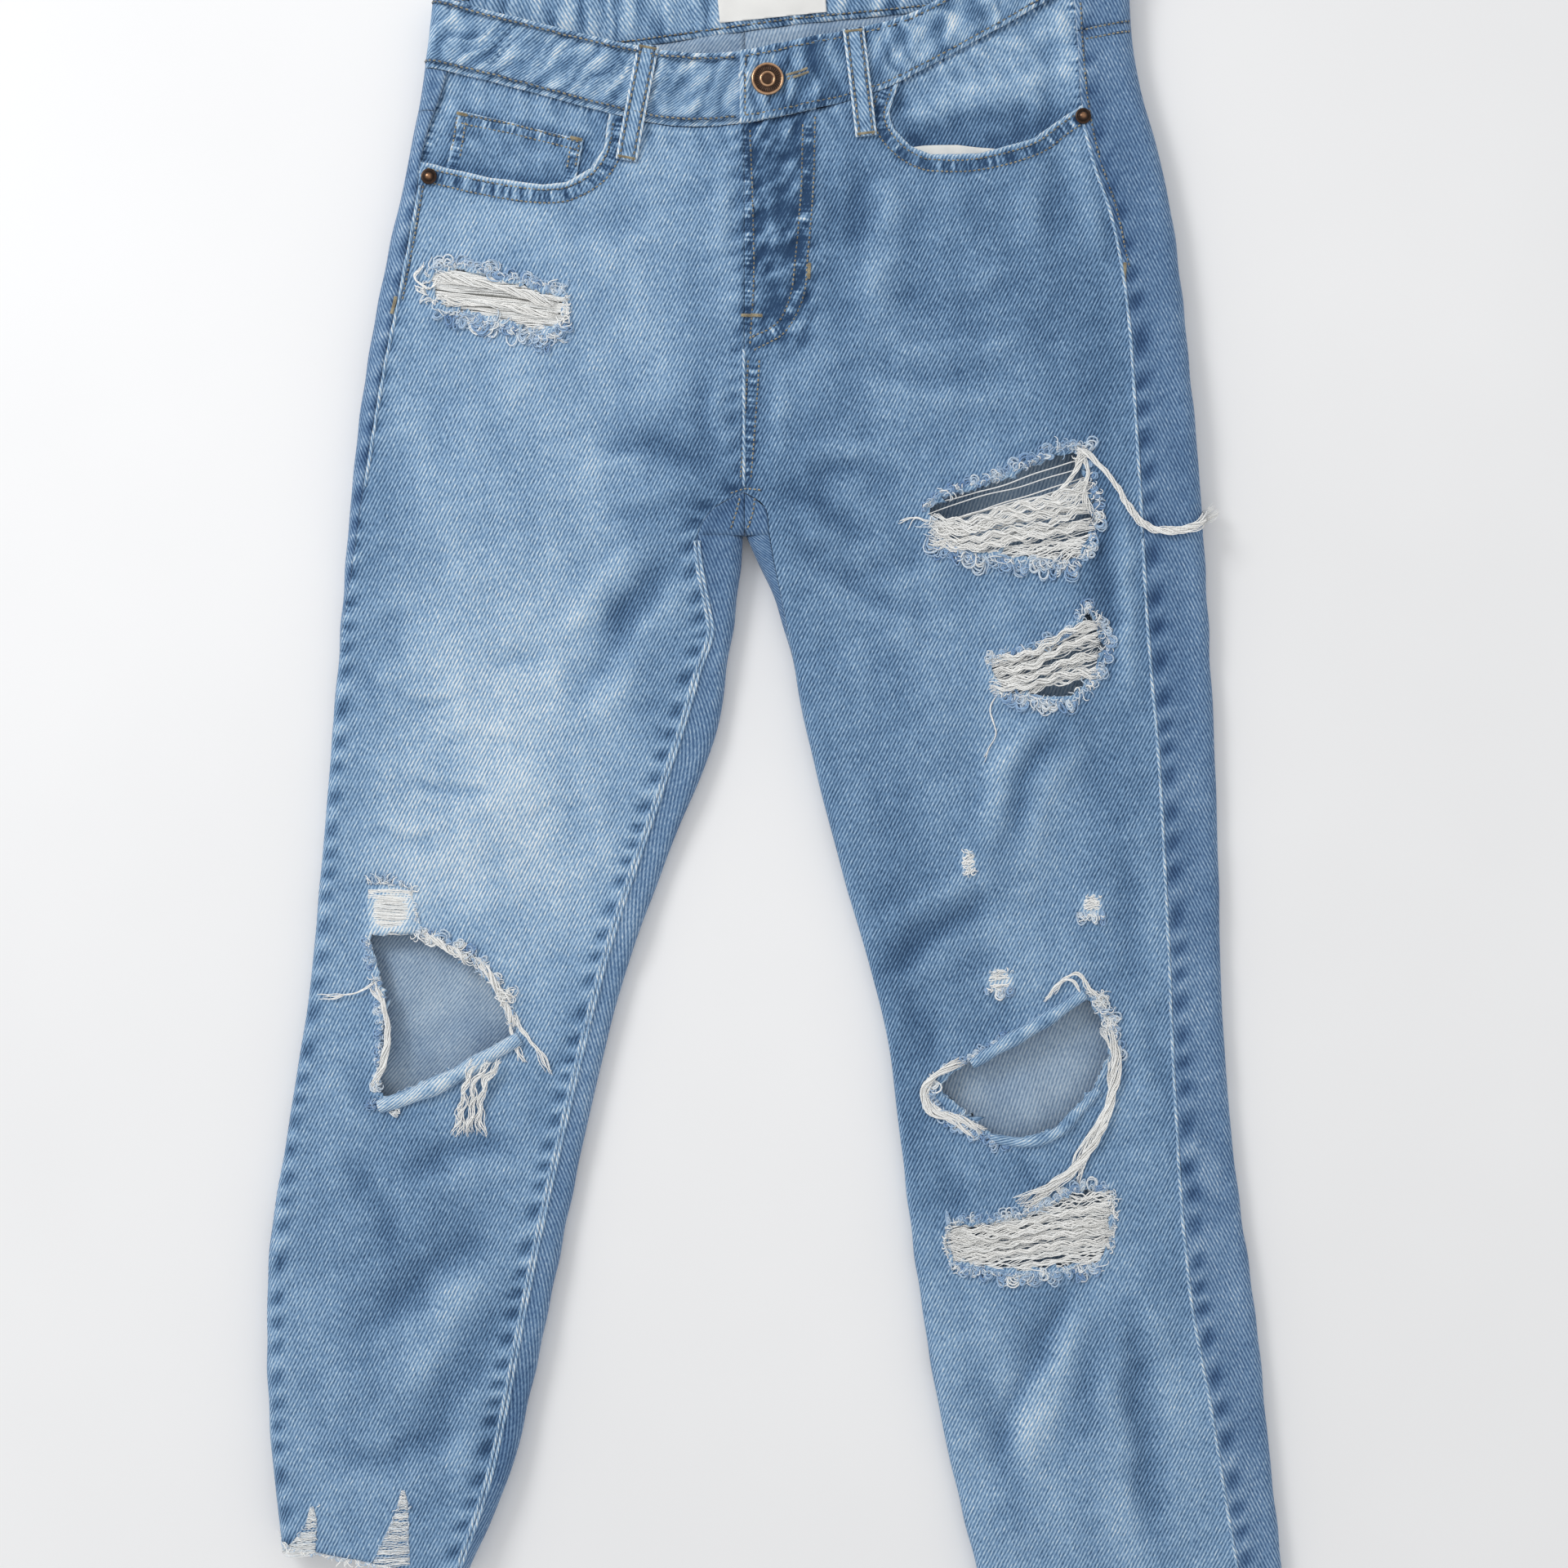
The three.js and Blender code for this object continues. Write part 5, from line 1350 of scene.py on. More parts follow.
# curled loops of yarn along an edge: strands go out and come back as a teardrop, several lying together
def curls(name, edge, count, reach, heading, seed, tone=(0.1, 0.7), strands=6, radius=0.46, m=10):
    rng = np.random.default_rng(seed)
    line = resample(edge, 0.5)
    count = round(1.5 * count)
    at = np.linspace(1, len(line) - 2, count) + rng.normal(size=count) * 0.3 * len(line) / count
    at = np.repeat(np.clip(at, 0, len(line) - 1.01), strands)[:, None]
    k = at[:, 0].astype(int)
    root = line[k] + (line[k + 1] - line[k]) * (at - k[:, None])
    out = math.radians(heading) + np.repeat(rng.normal(size=count) * 0.55, strands)[:, None]
    long = np.repeat(rng.uniform(*reach, count), strands)[:, None] * rng.uniform(0.35, 1.25, (len(at), 1))
    wide = 0.24 * long * np.repeat(rng.uniform(0.35, 1.3, count), strands)[:, None]
    t = np.linspace(0, 1, m)
    jitter = rng.normal(size=(2, len(at), 1)) * 0.35
    v = long * np.sin(pi * t)**0.9 - 1.2 + jitter[0] + 0.2 * np.sin(13 * t + 9 * jitter[1])
    u = wide * (1.3 * (t - 0.5)
                - 0.9 * np.sin(2 * pi * t)) + jitter[1] + 0.25 * np.sin(11 * t + 9 * jitter[0])
    x = root[:, :1] + np.cos(out) * v - np.sin(out) * u
    y = root[:, 1:] + np.sin(out) * v + np.cos(out) * u
    z = topZ(x, y) + 0.4 + np.sin(pi * t) * rng.uniform(0.2, 1.6, (len(at), 1))
    tones = np.repeat(rng.uniform(*tone, count), strands) + rng.normal(size=len(at)) * 0.08
    addThreads(name, np.stack([x, y, z], -1), radius * rng.uniform(0.8, 1.2, len(at)), tones)


# threads across an opening: level lines of the outline with a slope, drawn together in waves and sagging
def bridges(name, outline, count, slope, bunch, wave, seed, tone=(0.85, 1.05), sag=1.2, radius=0.32,
            lifted=0.2, over=2.5,
            band=(0, 1), stray=0.5, m=28, crimp=0.0):
    rng = np.random.default_rng(seed)
    pts = np.array(list(outline) + [outline[0]], float)
    tilt = pts[:, 1] - slope * pts[:, 0]
    low, high = tilt.min() + 0.6, tilt.max() - 0.6
    level = np.sort(rng.uniform(lerp(low, high, band[0]), lerp(low, high, band[1]), count))
    ends = []
    for c in level:
        cross = [pts[k, 0] + (c - tilt[k]) / (tilt[k + 1] - tilt[k]) * (pts[k + 1, 0] - pts[k, 0])
                 for k in range(len(pts) - 1) if (tilt[k] > c) != (tilt[k + 1] > c)]
        ends.append((min(cross), max(cross)) if len(cross) >= 2 else (0, 0))
    ends = np.array(ends)
    t = np.linspace(0, 1, m)
    x = lerp(ends[:, :1] - over, ends[:, 1:] + over, t)
    phase = rng.uniform(0, 6.3, (count, 1))
    middle = smooth(t, 0, 0.25) * smooth(1 - t, 0, 0.25)
    draw = bunch * np.sin(level[:, None] * 2 * pi / wave + 2.2 * t + seed) + stray * np.sin(t * 7 + phase) \
        + 0.6 * stray * np.sin(t * 17 + 2 * phase)
    draw = draw + crimp * np.sin(2 * pi * x / 11
                                 + 0.9 * level[:, None]) + 0.5 * crimp * np.sin(2 * pi * x / 5.7 + phase)
    y = level[:, None] + slope * x + middle * draw
    z = topZ(x, y) + lifted - middle * sag * (0.4 + 0.6 * np.sin(phase + t * 3)**2) \
        + rng.uniform(-0.3, 0.5, (count, 1)) * middle
    addThreads(name, np.stack([x, y, z], -1), radius * rng.uniform(0.75, 1.3, count),
               rng.uniform(*tone, count))


# a hank of threads along a path (x, y, height above the cloth), twisting about it and loosening at the ends
def bundle(name, path, count, spreadBy, seed, tone=(0.88, 1.08), radius=0.3, twist=1.5, loosen=1.0, m=30,
           fray=0.0,
           waves=0.25):
    rng = np.random.default_rng(seed)
    line = resample(path, 1.0)
    m = max(12, min(m, len(line)))
    run = np.linspace(0, len(line) - 1, m)
    line = np.stack([np.interp(run, np.arange(len(line)), line[:, k]) for k in range(3)], 1)
    way = np.gradient(line[:, :2], axis=0)
    way /= np.maximum(np.linalg.norm(way, axis=1, keepdims=True), 1e-9)
    side = np.column_stack([-way[:, 1], way[:, 0]])
    t = np.linspace(0, 1, m)
    r = spreadBy * np.sqrt(rng.uniform(0.02, 1, (count, 1)))
    turn = rng.uniform(0, 2 * pi, (count, 1)) + twist * 2 * pi * t + 0.5 * np.sin(t * 5 + rng.uniform(0, 6, (count, 1)))
    wide = 1 + loosen * np.abs(2 * t - 1)**3 + 0.3 * np.sin(t * 8 + seed)
    off = r * np.cos(turn) * wide + fray * rng.normal(size=(count, 1)) * t**3 * 4
    z = line[:, 2] + 0.55 * r * (1 + np.sin(turn))
    x = line[:, 0] + side[:, 0] * off
    y = line[:, 1] + side[:, 1] * off
    crimp = waves * np.sin(run * 2 * pi / 12 + seed + 0.3 * rng.normal(size=(count, 1)))
    x, y = x + side[:, 0] * crimp, y + side[:, 1] * crimp
    z = z + topZ(x, y)
    stretch = rng.uniform(-1, 1, (count, 1)) * 2.0
    x, y = x + way[:, 0] * stretch, y + way[:, 1] * stretch
    addThreads(name, np.stack([x, y, z], -1), radius * rng.uniform(0.8, 1.2, count),
               rng.uniform(*tone, count))


# a knot of curled threads about a place: looping paths of a few slow waves
def tangle(name, x, y, size, count, seed, tone=(0.85, 1.05), m=34, radius=0.28, high=1.5):
    rng = np.random.default_rng(seed)
    t = np.linspace(0, 1, m)
    a, b, c, d = rng.uniform(0, 6.3, (4, count, 1))
    f, h = rng.uniform(2, 6, (2, count, 1))
    px = x + size * rng.uniform(0.4, 1, (count, 1)) * (0.6 * np.sin(f * t + a)
                                                       + 0.4 * np.sin(2.3 * h * t + b))
    py = y + size * rng.uniform(0.4, 1, (count, 1)) * (0.6 * np.sin(h * t + c)
                                                       + 0.4 * np.sin(2.1 * f * t + d))
    pz = topZ(px, py) + 0.5 + high * (0.5 + 0.5 * np.sin(5 * t + a + c))
    addThreads(name, np.stack([px, py, pz], -1), radius * rng.uniform(0.8, 1.2, count),
               rng.uniform(*tone, count))


# rip at the hip: close white threads, blue fringe above, lobed fringe hanging below
bridges("threads_hip", rips["hip"], 105, -0.10, 0.7, 6, 1, sag=0.6, lifted=0.5, stray=0.35, radius=0.33)
fringe("threads_hip", [(-184, 266), (-167, 269), (-136, 260), (-113, 254)], 210, (5, 10), 95, 34, 2.6,
       (0.2, 0.75), 2, clump=8)
fringe("threads_hip", [(-180, 246), (-154, 240), (-124, 232), (-114, 238)], 330, (8, 14), -88, 26, 2.4,
       (0.2, 0.7), 3,
       clump=9)
fringe("threads_hip", [(-113, 254), (-112, 246), (-114, 239)], 60, (5, 10), -40, 60, 3.0, (0.5, 1.0), 4)
fringe("threads_hip", [(-186, 265), (-188, 256), (-182, 247)], 60, (5, 10), 190, 50, 3.0, (0.5, 1.0), 5)
bundle("threads_hip", [(-189, 269, 1), (-193, 262, 2), (-186, 256, 2), (-180, 262, 1)], 5, 0.6, 6)
bundle("threads_hip", [(-180, 262, 1), (-150, 257, 1.2), (-118, 248, 1)], 22, 2.2, 7, loosen=0.4)
bundle("threads_hip", [(-178, 250, 0.8), (-150, 247, 1.2), (-118, 242, 1)], 18, 2.0, 8, loosen=0.4)

# thigh rip: white bands over the hole, curled fringe, and the long twisted hank past the outer edge
bridges("threads_thigh", rips["thigh"], 64, 0.16, 1.6, 9, 11, band=(0.06, 0.50), sag=0.8, lifted=0.6,
        stray=1.7,
        crimp=0.5)
bridges("threads_thigh", rips["thigh"], 7, 0.30, 1.0, 9, 12, band=(0.62, 0.9), sag=1.4)
for k, (ya, yb, yc) in enumerate(((132, 139, 152), (127, 132, 146), (122, 126, 140), (118, 121, 130),
                                  (128, 136, 150))):
    bundle("threads_thigh",
           [(84, ya, 1.0), (104, ya - 1, 1.6), (126, yb, 2.2), (148, yb + 4, 2.2), (168, yc, 1.2)], 16,
           1.7, 20 + k, twist=1.2 + 0.3 * k, loosen=0.8, waves=1.3)
bundle("threads_thigh", [(166, 170, 1), (160, 156, 1.5), (152, 146, 2), (146, 138, 1.6)], 16, 1.5, 26)
bundle("threads_thigh", [(164, 168, 1), (168, 158, 1.5), (166, 146, 1.6), (170, 136, 1)], 12, 1.3, 27)
fringe("threads_thigh", [(80, 138), (90, 145), (124, 156), (154, 170), (166, 172)], 300, (5, 9), 80, 36, 2.4,
       (0.15, 0.75), 31, hop=1.6)
fringe("threads_thigh", [(84, 134), (92, 120), (120, 112), (163, 110)], 170, (6, 13), -84, 34, 1.6,
       (0.35, 1.0), 32,
       hop=1.6, clump=11)
fringe("threads_thigh", [(92, 119), (120, 111), (163, 109)], 130, (5, 10), -84, 30, 1.4, (0.1, 0.5), 33,
       clump=9)
fringe("threads_thigh", [(164, 168), (171, 148), (172, 128), (165, 112)], 130, (4, 9), -50, 60, 2.4,
       (0.5, 1.0), 34)
bundle("threads_thigh",
       [(163, 169, 1.5), (168, 167, 3), (181, 153, 2.5), (196, 131, 2.5), (212, 126, 3), (226, 129, 4),
                         (238, 138, 9)], 26, 1.4, 35, twist=4, loosen=0.7, m=54, fray=0.4)
bundle("threads_thigh", [(84, 131, 1), (76, 133, 0.8), (68, 130, 0.6)], 4, 0.5, 36, fray=0.5)

# lower thigh rip: loose white threads rising to the right
bridges("threads_lower_thigh", rips["lowerThigh"], 60, 0.36, 1.5, 8, 41, band=(0.16, 0.86), sag=0.9,
        lifted=0.6,
        stray=1.6, crimp=0.4)
for k, (ya, yc) in enumerate(((57, 78), (50, 70), (44, 60), (40, 50))):
    bundle("threads_lower_thigh",
           [(117, ya, 0.8), (136, ya + 3, 1.8), (156, (ya + yc) / 2 + 4, 1.8), (174, yc, 0.8)],
           13, 1.5, 42 + k, loosen=0.7, waves=1.0)
fringe("threads_lower_thigh", [(114, 57), (130, 59), (154, 69), (170, 86)], 190, (4, 8), 80, 40, 2.4,
       (0.15, 0.75), 47)
fringe("threads_lower_thigh", [(120, 40), (140, 37), (160, 36)], 170, (6, 11), -80, 34, 1.8, (0.15, 0.8), 48,
       clump=9)
fringe("threads_lower_thigh", [(172, 84), (179, 66), (174, 50), (161, 37)], 150, (4, 9), -20, 60, 2.4,
       (0.3, 1.0), 49)
bundle("threads_lower_thigh", [(121, 42, 0.6), (116, 30, 0.5), (119, 18, 0.5), (113, 4, 0.4)], 2, 0.3, 50)

# knee of the wearer's right: threads left round the hole and hanging off its lower edge
bridges("threads_knee_right", [(-219, -67), (-197, -67), (-193, -91), (-219, -91)], 130, -0.05, 0.3, 5, 61,
        sag=-0.2, lifted=0.35, over=0.8, stray=0.25, radius=0.24, tone=(0.8, 1.05), m=14)
fringe("threads_knee_right", [(-220, -64), (-208, -64), (-198, -66)], 80, (4, 8), 96, 30, 1.5, (0.2, 0.8), 63)
fringe("threads_knee_right", [(-197, -66), (-194, -80), (-190, -90)], 46, (3, 6), 10, 50, 2.0, (0.4, 0.9), 64)
fringe("threads_knee_right", [(-193, -90), (-178, -96), (-165, -102), (-156, -113)], 190, (5, 11), -60, 50,
       2.6,
       (0.3, 1.0), 65, hop=1.4)
bundle("threads_knee_right", [(-190, -91, 0.6), (-177, -98, 1.2), (-166, -105, 0.8)], 22, 1.8, 66, loosen=0.8)
bundle("threads_knee_right", [(-160, -105, 0.8), (-152, -116, 1.5), (-147, -126, 1.2), (-141, -140, 0.8)],
       24, 1.7, 67,
       loosen=1.0)
tangle("threads_knee_right", -145, -124, 6.5, 15, 68, high=3)
tangle("threads_knee_right", -151, -116, 5, 9, 69, (0.5, 1.0))
bundle("threads_knee_right", [(-142, -134, 1), (-134, -146, 1.5), (-127, -156, 0.8), (-122, -166, 0.5)], 7,
       1.0, 70,
       fray=0.5)
bundle("threads_knee_right", [(-144, -138, 1), (-140, -150, 1.5), (-136, -160, 0.6)], 6, 0.9, 71, fray=0.5)
bundle("threads_knee_right", [(-217, -119, 0.8), (-212, -127, 1.4), (-209, -143, 1.2), (-211, -160, 1.2),
                              (-217, -174, 0.8)], 22, 1.5, 72, loosen=0.9)
fringe("threads_knee_right", [(-220, -92), (-219, -106), (-212, -124)], 80, (4, 8), 200, 60, 2.6, (0.1, 0.8),
       73)
fringe("threads_knee_right", [(-211, -126), (-212, -150), (-215, -175)], 110, (3, 7), 185, 50, 2.4,
       (0.1, 0.8), 74)
tangle("threads_knee_right", -218, -183, 4.5, 10, 75, (0.05, 0.5))
tangle("threads_knee_right", -205, -187, 4.0, 9, 76, (0.7, 1.0))
bundle("threads_knee_right", [(-217, -117, 1), (-222, -121, 2), (-234, -124, 2), (-246, -125, 1)], 5, 0.5,
       77, fray=0.4)
for k, x in enumerate((-158, -153, -148)):
    bundle("threads_knee_right",
           [(x - 4 + 2 * k, -160, 4.5), (x - 8, -170, 5), (x - 11, -184, 2), (x - 14 + k, -199, 0.6)],
           12, 1.6, 78 + k, fray=0.7, loosen=0.9, waves=0.8)
fringe("threads_knee_right", [(-166, -103), (-150, -121), (-140, -140)], 90, (4, 8), 30, 50, 2.4, (0.1, 0.6),
       83)

# knee of the wearer's left
bundle("threads_knee_left",
       [(100, -160, 1), (88, -166, 1.5), (80, -174, 1.4), (84, -186, 1.5), (98, -190, 1.2),
                             (112, -197, 0.8)], 30, 1.8, 91, loosen=0.6)
bundle("threads_knee_left", [(84, -168, 1), (82, -180, 1.2), (96, -192, 1.2), (108, -200, 0.8)], 16, 1.4, 92)
fringe("threads_knee_left", [(86, -166), (82, -174), (90, -186), (108, -194)], 110, (3, 7), 215, 60, 2.4,
       (0.3, 1.0), 93)
fringe("threads_knee_left", [(90, -184), (108, -195), (122, -204)], 130, (5, 10), -100, 34, 1.6, (0.1, 0.6),
       94, clump=8)
tangle("threads_knee_left", 176, -126, 6, 16, 95, (0.6, 1.0), high=2.5)
tangle("threads_knee_left", 180, -140, 5, 12, 96, (0.5, 1.0))
bundle("threads_knee_left",
       [(150, -122, 1), (156, -115, 2), (163, -112, 2.5), (169, -120, 2), (176, -126, 1.5)], 9, 0.9,
       97)
bundle("threads_knee_left", [(146, -126, 1), (152, -118, 2.2), (160, -116, 2.5), (166, -124, 1.5)], 8, 0.9,
       98)
fringe("threads_knee_left", [(166, -121), (177, -130), (183, -145), (184, -158)], 150, (4, 9), -10, 60, 2.6,
       (0.3, 1.0),
       99)
bundle("threads_knee_left",
       [(178, -142, 1), (184, -157, 2), (182, -176, 2), (176, -196, 1.8), (166, -212, 1.6),
                             (150, -226, 1.2), (134, -238, 0.8)], 30, 1.8, 100, twist=2.4, loosen=1.1, m=60,
       fray=0.6)
bundle("threads_knee_left", [(182, -158, 1), (180, -180, 1.6), (170, -200, 1.5), (160, -222, 1)], 14, 1.4,
       101,
       fray=0.6)
fringe("threads_knee_left", [(100, -162), (126, -148), (148, -135)], 130, (3, 6), 100, 40, 2.4, (0.1, 0.7),
       102)

# shin rip: near level threads rising to the right
bridges("threads_shin", rips["shin"], 96, 0.14, 1.3, 9, 111, sag=0.5, lifted=0.6, stray=1.7, crimp=0.4)
for k, (ya, yc) in enumerate(((-252, -238), (-257, -244), (-262, -250), (-266, -256), (-255, -246))):
    bundle("threads_shin",
           [(95, ya, 0.8), (122, ya + 3, 1.5), (150, (ya + yc) / 2 + 2, 1.5), (180, yc, 0.8)], 10, 1.3,
           112 + k, loosen=0.9, waves=1.0)
fringe("threads_shin", [(94, -247), (124, -245), (146, -238), (162, -229)], 200, (4, 8), 90, 36, 2.0,
       (0.15, 0.75), 118,
       clump=8)
fringe("threads_shin", [(94, -268), (130, -274), (174, -270)], 280, (5, 9), -88, 30, 1.8, (0.1, 0.7), 119,
       clump=9)
fringe("threads_shin", [(181, -230), (183, -250), (180, -264)], 90, (3, 7), 0, 60, 2.8, (0.4, 1.0), 120)
fringe("threads_shin", [(93, -248), (92, -258), (94, -268)], 60, (3, 6), 180, 60, 2.8, (0.4, 1.0), 121)

for name, edge, count, reach, heading in (
        ("threads_hip", [(-180, 246), (-154, 240), (-124, 232), (-114, 238)], 15, (7, 11), -88),
        ("threads_hip", [(-184, 265), (-167, 268), (-136, 259), (-114, 253)], 13, (4, 8), 92),
        ("threads_thigh", [(84, 122), (92, 119), (120, 111), (163, 109)], 17, (6, 11), -88),
        ("threads_thigh", [(80, 138), (90, 145), (124, 156), (154, 170), (168, 170)], 20, (4, 8), 78),
        ("threads_thigh", [(167, 164), (171, 148), (172, 128), (165, 112)], 8, (4, 7), -10),
        ("threads_lower_thigh", [(120, 39), (140, 36), (160, 36)], 11, (6, 9), -84),
        ("threads_lower_thigh", [(114, 57), (130, 60), (154, 69), (170, 85)], 13, (4, 7), 86),
        ("threads_lower_thigh", [(176, 80), (179, 64), (170, 45)], 8, (4, 7), -20),
        ("threads_knee_right", [(-193, -90), (-178, -96), (-165, -102), (-153, -116)], 12, (4, 8), 40),
        ("threads_knee_right", [(-220, -94), (-213, -124), (-214, -175)], 14, (3, 6), 185),
        ("threads_knee_left", [(84, -170), (88, -184), (108, -196), (124, -204)], 13, (4, 8), -110),
        ("threads_knee_left", [(90, -166), (104, -159), (126, -147)], 10, (3, 6), 115),
        ("threads_knee_left", [(170, -123), (179, -136), (184, -154)], 9, (4, 8), -10),
        ("threads_shin", [(94, -268), (130, -274), (174, -270)], 18, (5, 9), -88),
        ("threads_shin", [(94, -247), (124, -245), (146, -238), (162, -229), (178, -228)], 18, (4, 7), 92),
        ("threads_nicks", [(165, -80), (177, -80)], 2, (3, 6), -90),
        ("threads_nicks", [(114, -121), (128, -121)], 3, (4, 7), -90)):
    curls(name, edge, count, reach, heading, abs(round(edge[0][0] + 3 * edge[-1][1])))

for k, (cx, cy, rx, ry) in enumerate(nicks[:3]):
    turn = np.linspace(0, 2 * pi, 13)[:-1]
    outline = [(cx + rx * math.cos(a), cy + ry * math.sin(a)) for a in turn]
    bridges("threads_nicks", outline, 20, 0.1, 0.8, 4, 130 + k, sag=-0.3, lifted=0.4, over=0.6, m=10)
    fringe("threads_nicks", [(cx - rx, cy + ry * 0.8), (cx + rx, cy + ry * 0.8)], 26, (2, 5), 90, 50, 2.4,
           (0.3, 1.0),
           134 + k)
    fringe("threads_nicks", [(cx - rx, cy - ry * 0.8), (cx + rx, cy - ry * 0.8)], 34, (3, 6), -90, 50, 2.4,
           (0.3, 1.0),
           138 + k)

# raw hems: fringe along each, and two worn white tongues on the wearer's right
hemRightAt = [(-268, -418), (-240, -424.5), (-215, -429), (-190, -434), (-168, -438.5)]
hemLeftAt = [(118, -462.5), (160, -457.5), (196, -453), (236, -448), (274, -443.5)]
fringe("threads_hems", hemRightAt, 300, (2, 7), -90, 34, 1.8, (0.2, 1.0), 151, hop=0.4, clump=10)
fringe("threads_hems", hemLeftAt, 260, (1, 3), -90, 20, 0.8, (0.1, 0.6), 152, hop=0.1)
for k, (tipX, tipY, left, right,
        low) in enumerate(((-249, -398, -266, -248, -425), (-200, -389, -216, -197, -430))):
    tongue = [(tipX, tipY), (tipX + 2, tipY - 8), (right, low), (left, low), (tipX - 3, tipY - 12)]
    bridges("threads_hems", tongue, 120, 0.05, 0.3, 4, 153 + k, sag=-0.2, lifted=0.3, over=0.9, m=10,
            stray=0.35,
            radius=0.22, tone=(0.6, 1.0))
    fringe("threads_hems", [(left, low), (tipX - 2, tipY - 10)], 26, (2, 5), 150, 50, 1.6, (0.2, 0.8),
           157 + k)
    fringe("threads_hems", [(tipX + 3, tipY), (right, low)], 20, (1.5, 4), 30, 50, 1.6, (0.2, 0.8), 160 + k)

for name, sets in loose.items():
    starts = np.cumsum([0] + [len(one["v"]) for one in sets])
    v, cloth, wear = (np.concatenate([one[key] for one in sets]) for key in ("v", "cloth", "wear"))
    quads, caps = (np.concatenate([one[key] + start for one, start in zip(sets, starts)]).tolist()
                   for key in ("quads", "caps"))
    putMesh(name, v, quads + caps, [looseThread], (), cloth, wear)
makeStitches("topstitching", sewn["tan"], tanThread)
makeStitches("gold_stitching", sewn["gold"], goldThread)
makeChannelDyeAndShadow("stitch_channels", sewn["rows"])
print("threads made")

rolls = dict(
    roll_knee_right=dict(path=[(-214, -184), (-196, -178), (-172, -167), (-150, -154), (-138, -147)],
                         radius=5.0),
    roll_knee_left_upper=dict(path=[(106, -161), (124, -150), (146, -137), (167, -123)], radius=4.2),
    roll_knee_left_lower=dict(path=[(116, -201), (134, -203), (152, -198), (164, -186), (175, -175)],
                              radius=3.4))
for name, roll in rolls.items():
    line = resample(roll["path"], 1.2)
    t = np.linspace(0, 1, len(line))
    r = roll["radius"] * (0.55 + 0.45 * np.sin(pi * np.clip(t, 0.06, 0.94))**0.5) * (1 + 0.09 * np.sin(t * 21))
    z = topZ(line[:, 0], line[:, 1]) + 0.35 * r - 0.6
    path = np.column_stack([line, z])
    way = unit(np.gradient(path, axis=0))
    side = unit(np.cross(way, [0, 0, 1.0]))
    up = np.cross(side, way)
    turn = np.linspace(0, 2 * pi, 20, endpoint=False)
    spiral = 1 - 0.14 * turn / (2 * pi)  # the free edge of the roll shows as a step
    profile = np.stack([np.cos(turn) * spiral, np.sin(turn) * spiral * 0.85], -1)[None] * r[:, None, None]
    ring, faces = sweep(path, side, up, profile)
    u = np.tile(turn * roll["radius"], (len(line), 1))
    v = np.tile((t * 1.2 * len(line))[:, None], (1, 20))
    # the top of each roll is painted paler and its underside darker: painted shade
    wear = (0.62 if "right" in name else 0.46) + 0.10 * np.sin(turn)[None] + 0.07 * ripple(u, v, 12, 83)
    putMesh(name, ring, faces, [denimPocket], (), pile(u, v, 0.0), wear)


# a turned profile of (radius, height, wear) about an upright axis, with ridges round a ring of it
def turned(name, profile, centre, z, segments, ridges=None):
    pts = np.array(profile, float)
    turn = np.linspace(0, 2 * pi, segments, endpoint=False)
    r = pts[:, 0:1] + 0 * turn
    h = pts[:, 1:2] + 0 * turn
    paleness = pts[:, 2:3] + 0 * turn
    if ridges:
        low, high, count, rise = ridges
        ring = smooth(r, low, low + 0.4) * smooth(high - r, 0, 0.4)
        wave = np.sin(turn * count)
        h = h + rise * ring * wave
        paleness = paleness + 0.3 * ring * wave
    v = np.stack([centre[0] + r * np.cos(turn), centre[1] + r * np.sin(turn), z + h], -1)
    i = np.arange(v.shape[0] * segments).reshape(v.shape[0], segments)
    j = np.roll(i, -1, 1)
    faces = np.stack([i[:-1], j[:-1], j[1:], i[1:]], -1).reshape(-1, 4).tolist()
    faces += [i[0, ::-1].tolist(), i[-1].tolist()]
    putMesh(name, v, faces, [copper], [name], None, paleness)


hardware = dict(
    button=[(2.0, -2.4, 0.3), (2.0, 0.3, 0.3), (8.0, 0.3, 0.3), (8.7, 0.9, 0.6), (8.8, 1.6, 0.8),
            (8.7, 2.2, 0.9),
            (8.3, 2.8, 1.0), (7.8, 2.9, 0.9), (7.3, 2.5, 0.5), (6.9, 2.1, 0.15), (6.4, 2.1, 0.18),
            (5.9, 2.1, 0.2),
            (5.4, 2.1, 0.2), (4.9, 2.1, 0.2), (4.5, 2.1, 0.15), (4.2, 2.4, 0.6), (3.9, 2.7, 0.95),
            (3.5, 2.8, 0.95),
            (3.1, 2.5, 0.7), (2.8, 2.1, 0.35), (2.3, 1.95, 0.3), (1.6, 2.0, 0.35), (0.8, 2.05, 0.4),
            (0.15, 2.06, 0.4)],
    rivet=[(3.9, 0, 0.1), (4.25, 0.15, 0.2), (4.3, 0.4, 0.4), (4.0, 0.8, 0.3), (3.3, 0.95, 0.1),
           (2.8, 0.8, 0.0),
           (2.4, 1.1, 0.1), (2.0, 1.6, 0.3), (1.5, 1.95, 0.5), (0.9, 2.15, 0.7), (0.1, 2.2, 0.8)])
turned("button", hardware["button"], (-4, 368), 20.9, 120, (4.4, 7.0, 36, 0.16))
turned("rivet_right", hardware["rivet"], (-186, 316.5), 18.9, 40)
turned("rivet_left", hardware["rivet"], (165.5, 349), 18.9, 40)
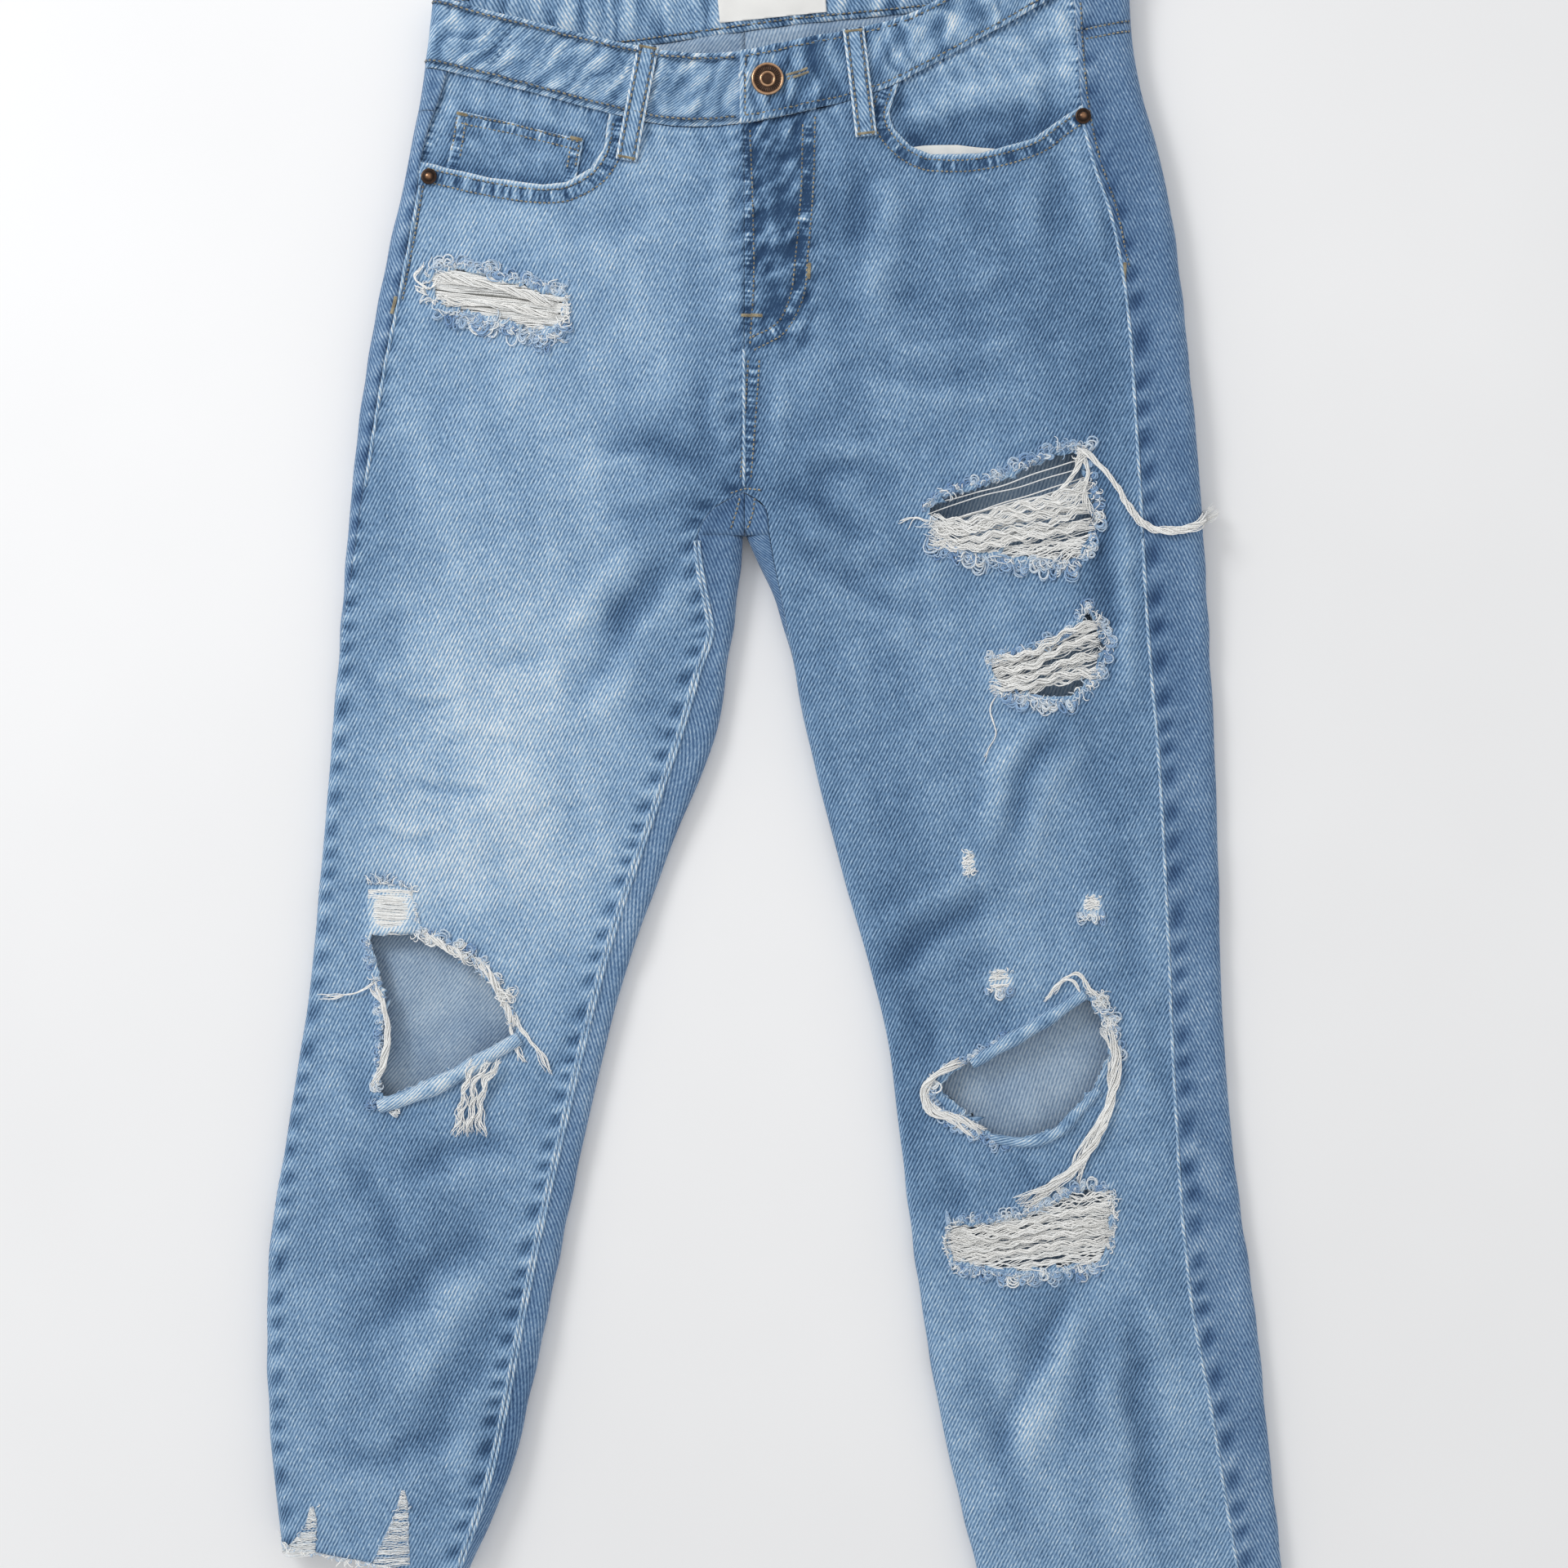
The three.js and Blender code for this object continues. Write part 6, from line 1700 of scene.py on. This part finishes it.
for obj in bpy.data.objects:
    if obj.type == "MESH" and obj.name.startswith("zip_slider"):
        obj.data.materials.clear()
        obj.data.materials.append(copper)

stage = dict(camera=(4.8, -9.9), height=1408, table=1.6, key=(-1.25, 1.1, 1.45), keyPower=17, keySize=0.7,
             sky=0.73)
floorMaterial, tree, shader = newMaterial("pale_table", Roughness=0.75)
place = addNode(tree, "ShaderNodeTexCoord").outputs["Object"]
cloud = addNode(tree, "ShaderNodeTexNoise", {"Vector": place, "Scale": 3.0, "Detail": 4.0}).outputs["Fac"]
tree.links.new(ramp(tree, cloud, [(0.3, (240, 241, 243)), (0.7, (245, 246, 248))]),
               shader.inputs["Base Color"])
mesh = bpy.data.meshes.new("table")
size = stage["table"]
mesh.from_pydata([(-size, -size, -0.0005), (size, -size, -0.0005), (size, size, -0.0005),
                  (-size, size, -0.0005)], [],
                 [(0, 1, 2, 3)])
mesh.materials.append(floorMaterial)
table = bpy.data.objects.new("table", mesh)
bpy.context.scene.collection.objects.link(table)

world = bpy.data.worlds.new("studio")
world.use_nodes = True
world.node_tree.nodes["Background"].inputs["Color"].default_value = (1.0, 0.995, 0.985, 1)
world.node_tree.nodes["Background"].inputs["Strength"].default_value = stage["sky"]
bpy.context.scene.world = world
light = bpy.data.lights.new("window", "AREA")
light.energy, light.size = stage["keyPower"], stage["keySize"]
lamp = bpy.data.objects.new("window", light)
lamp.location = stage["key"]
bpy.context.scene.collection.objects.link(lamp)
aim = -np.array(stage["key"])
lamp.rotation_euler = (math.acos(-aim[2] / np.linalg.norm(aim)), 0, math.atan2(aim[1], aim[0]) - pi / 2)

lens = bpy.data.cameras.new("camera")
lens.lens, lens.sensor_width = 60, 36
lens.clip_start, lens.clip_end = 0.05, 10
eye = bpy.data.objects.new("camera", lens)
eye.location = (stage["camera"][0] / 1000, stage["camera"][1] / 1000, (stage["height"] + 15) / 1000)
bpy.context.scene.collection.objects.link(eye)
bpy.context.scene.camera = eye
bpy.context.scene.view_settings.view_transform = "Standard"
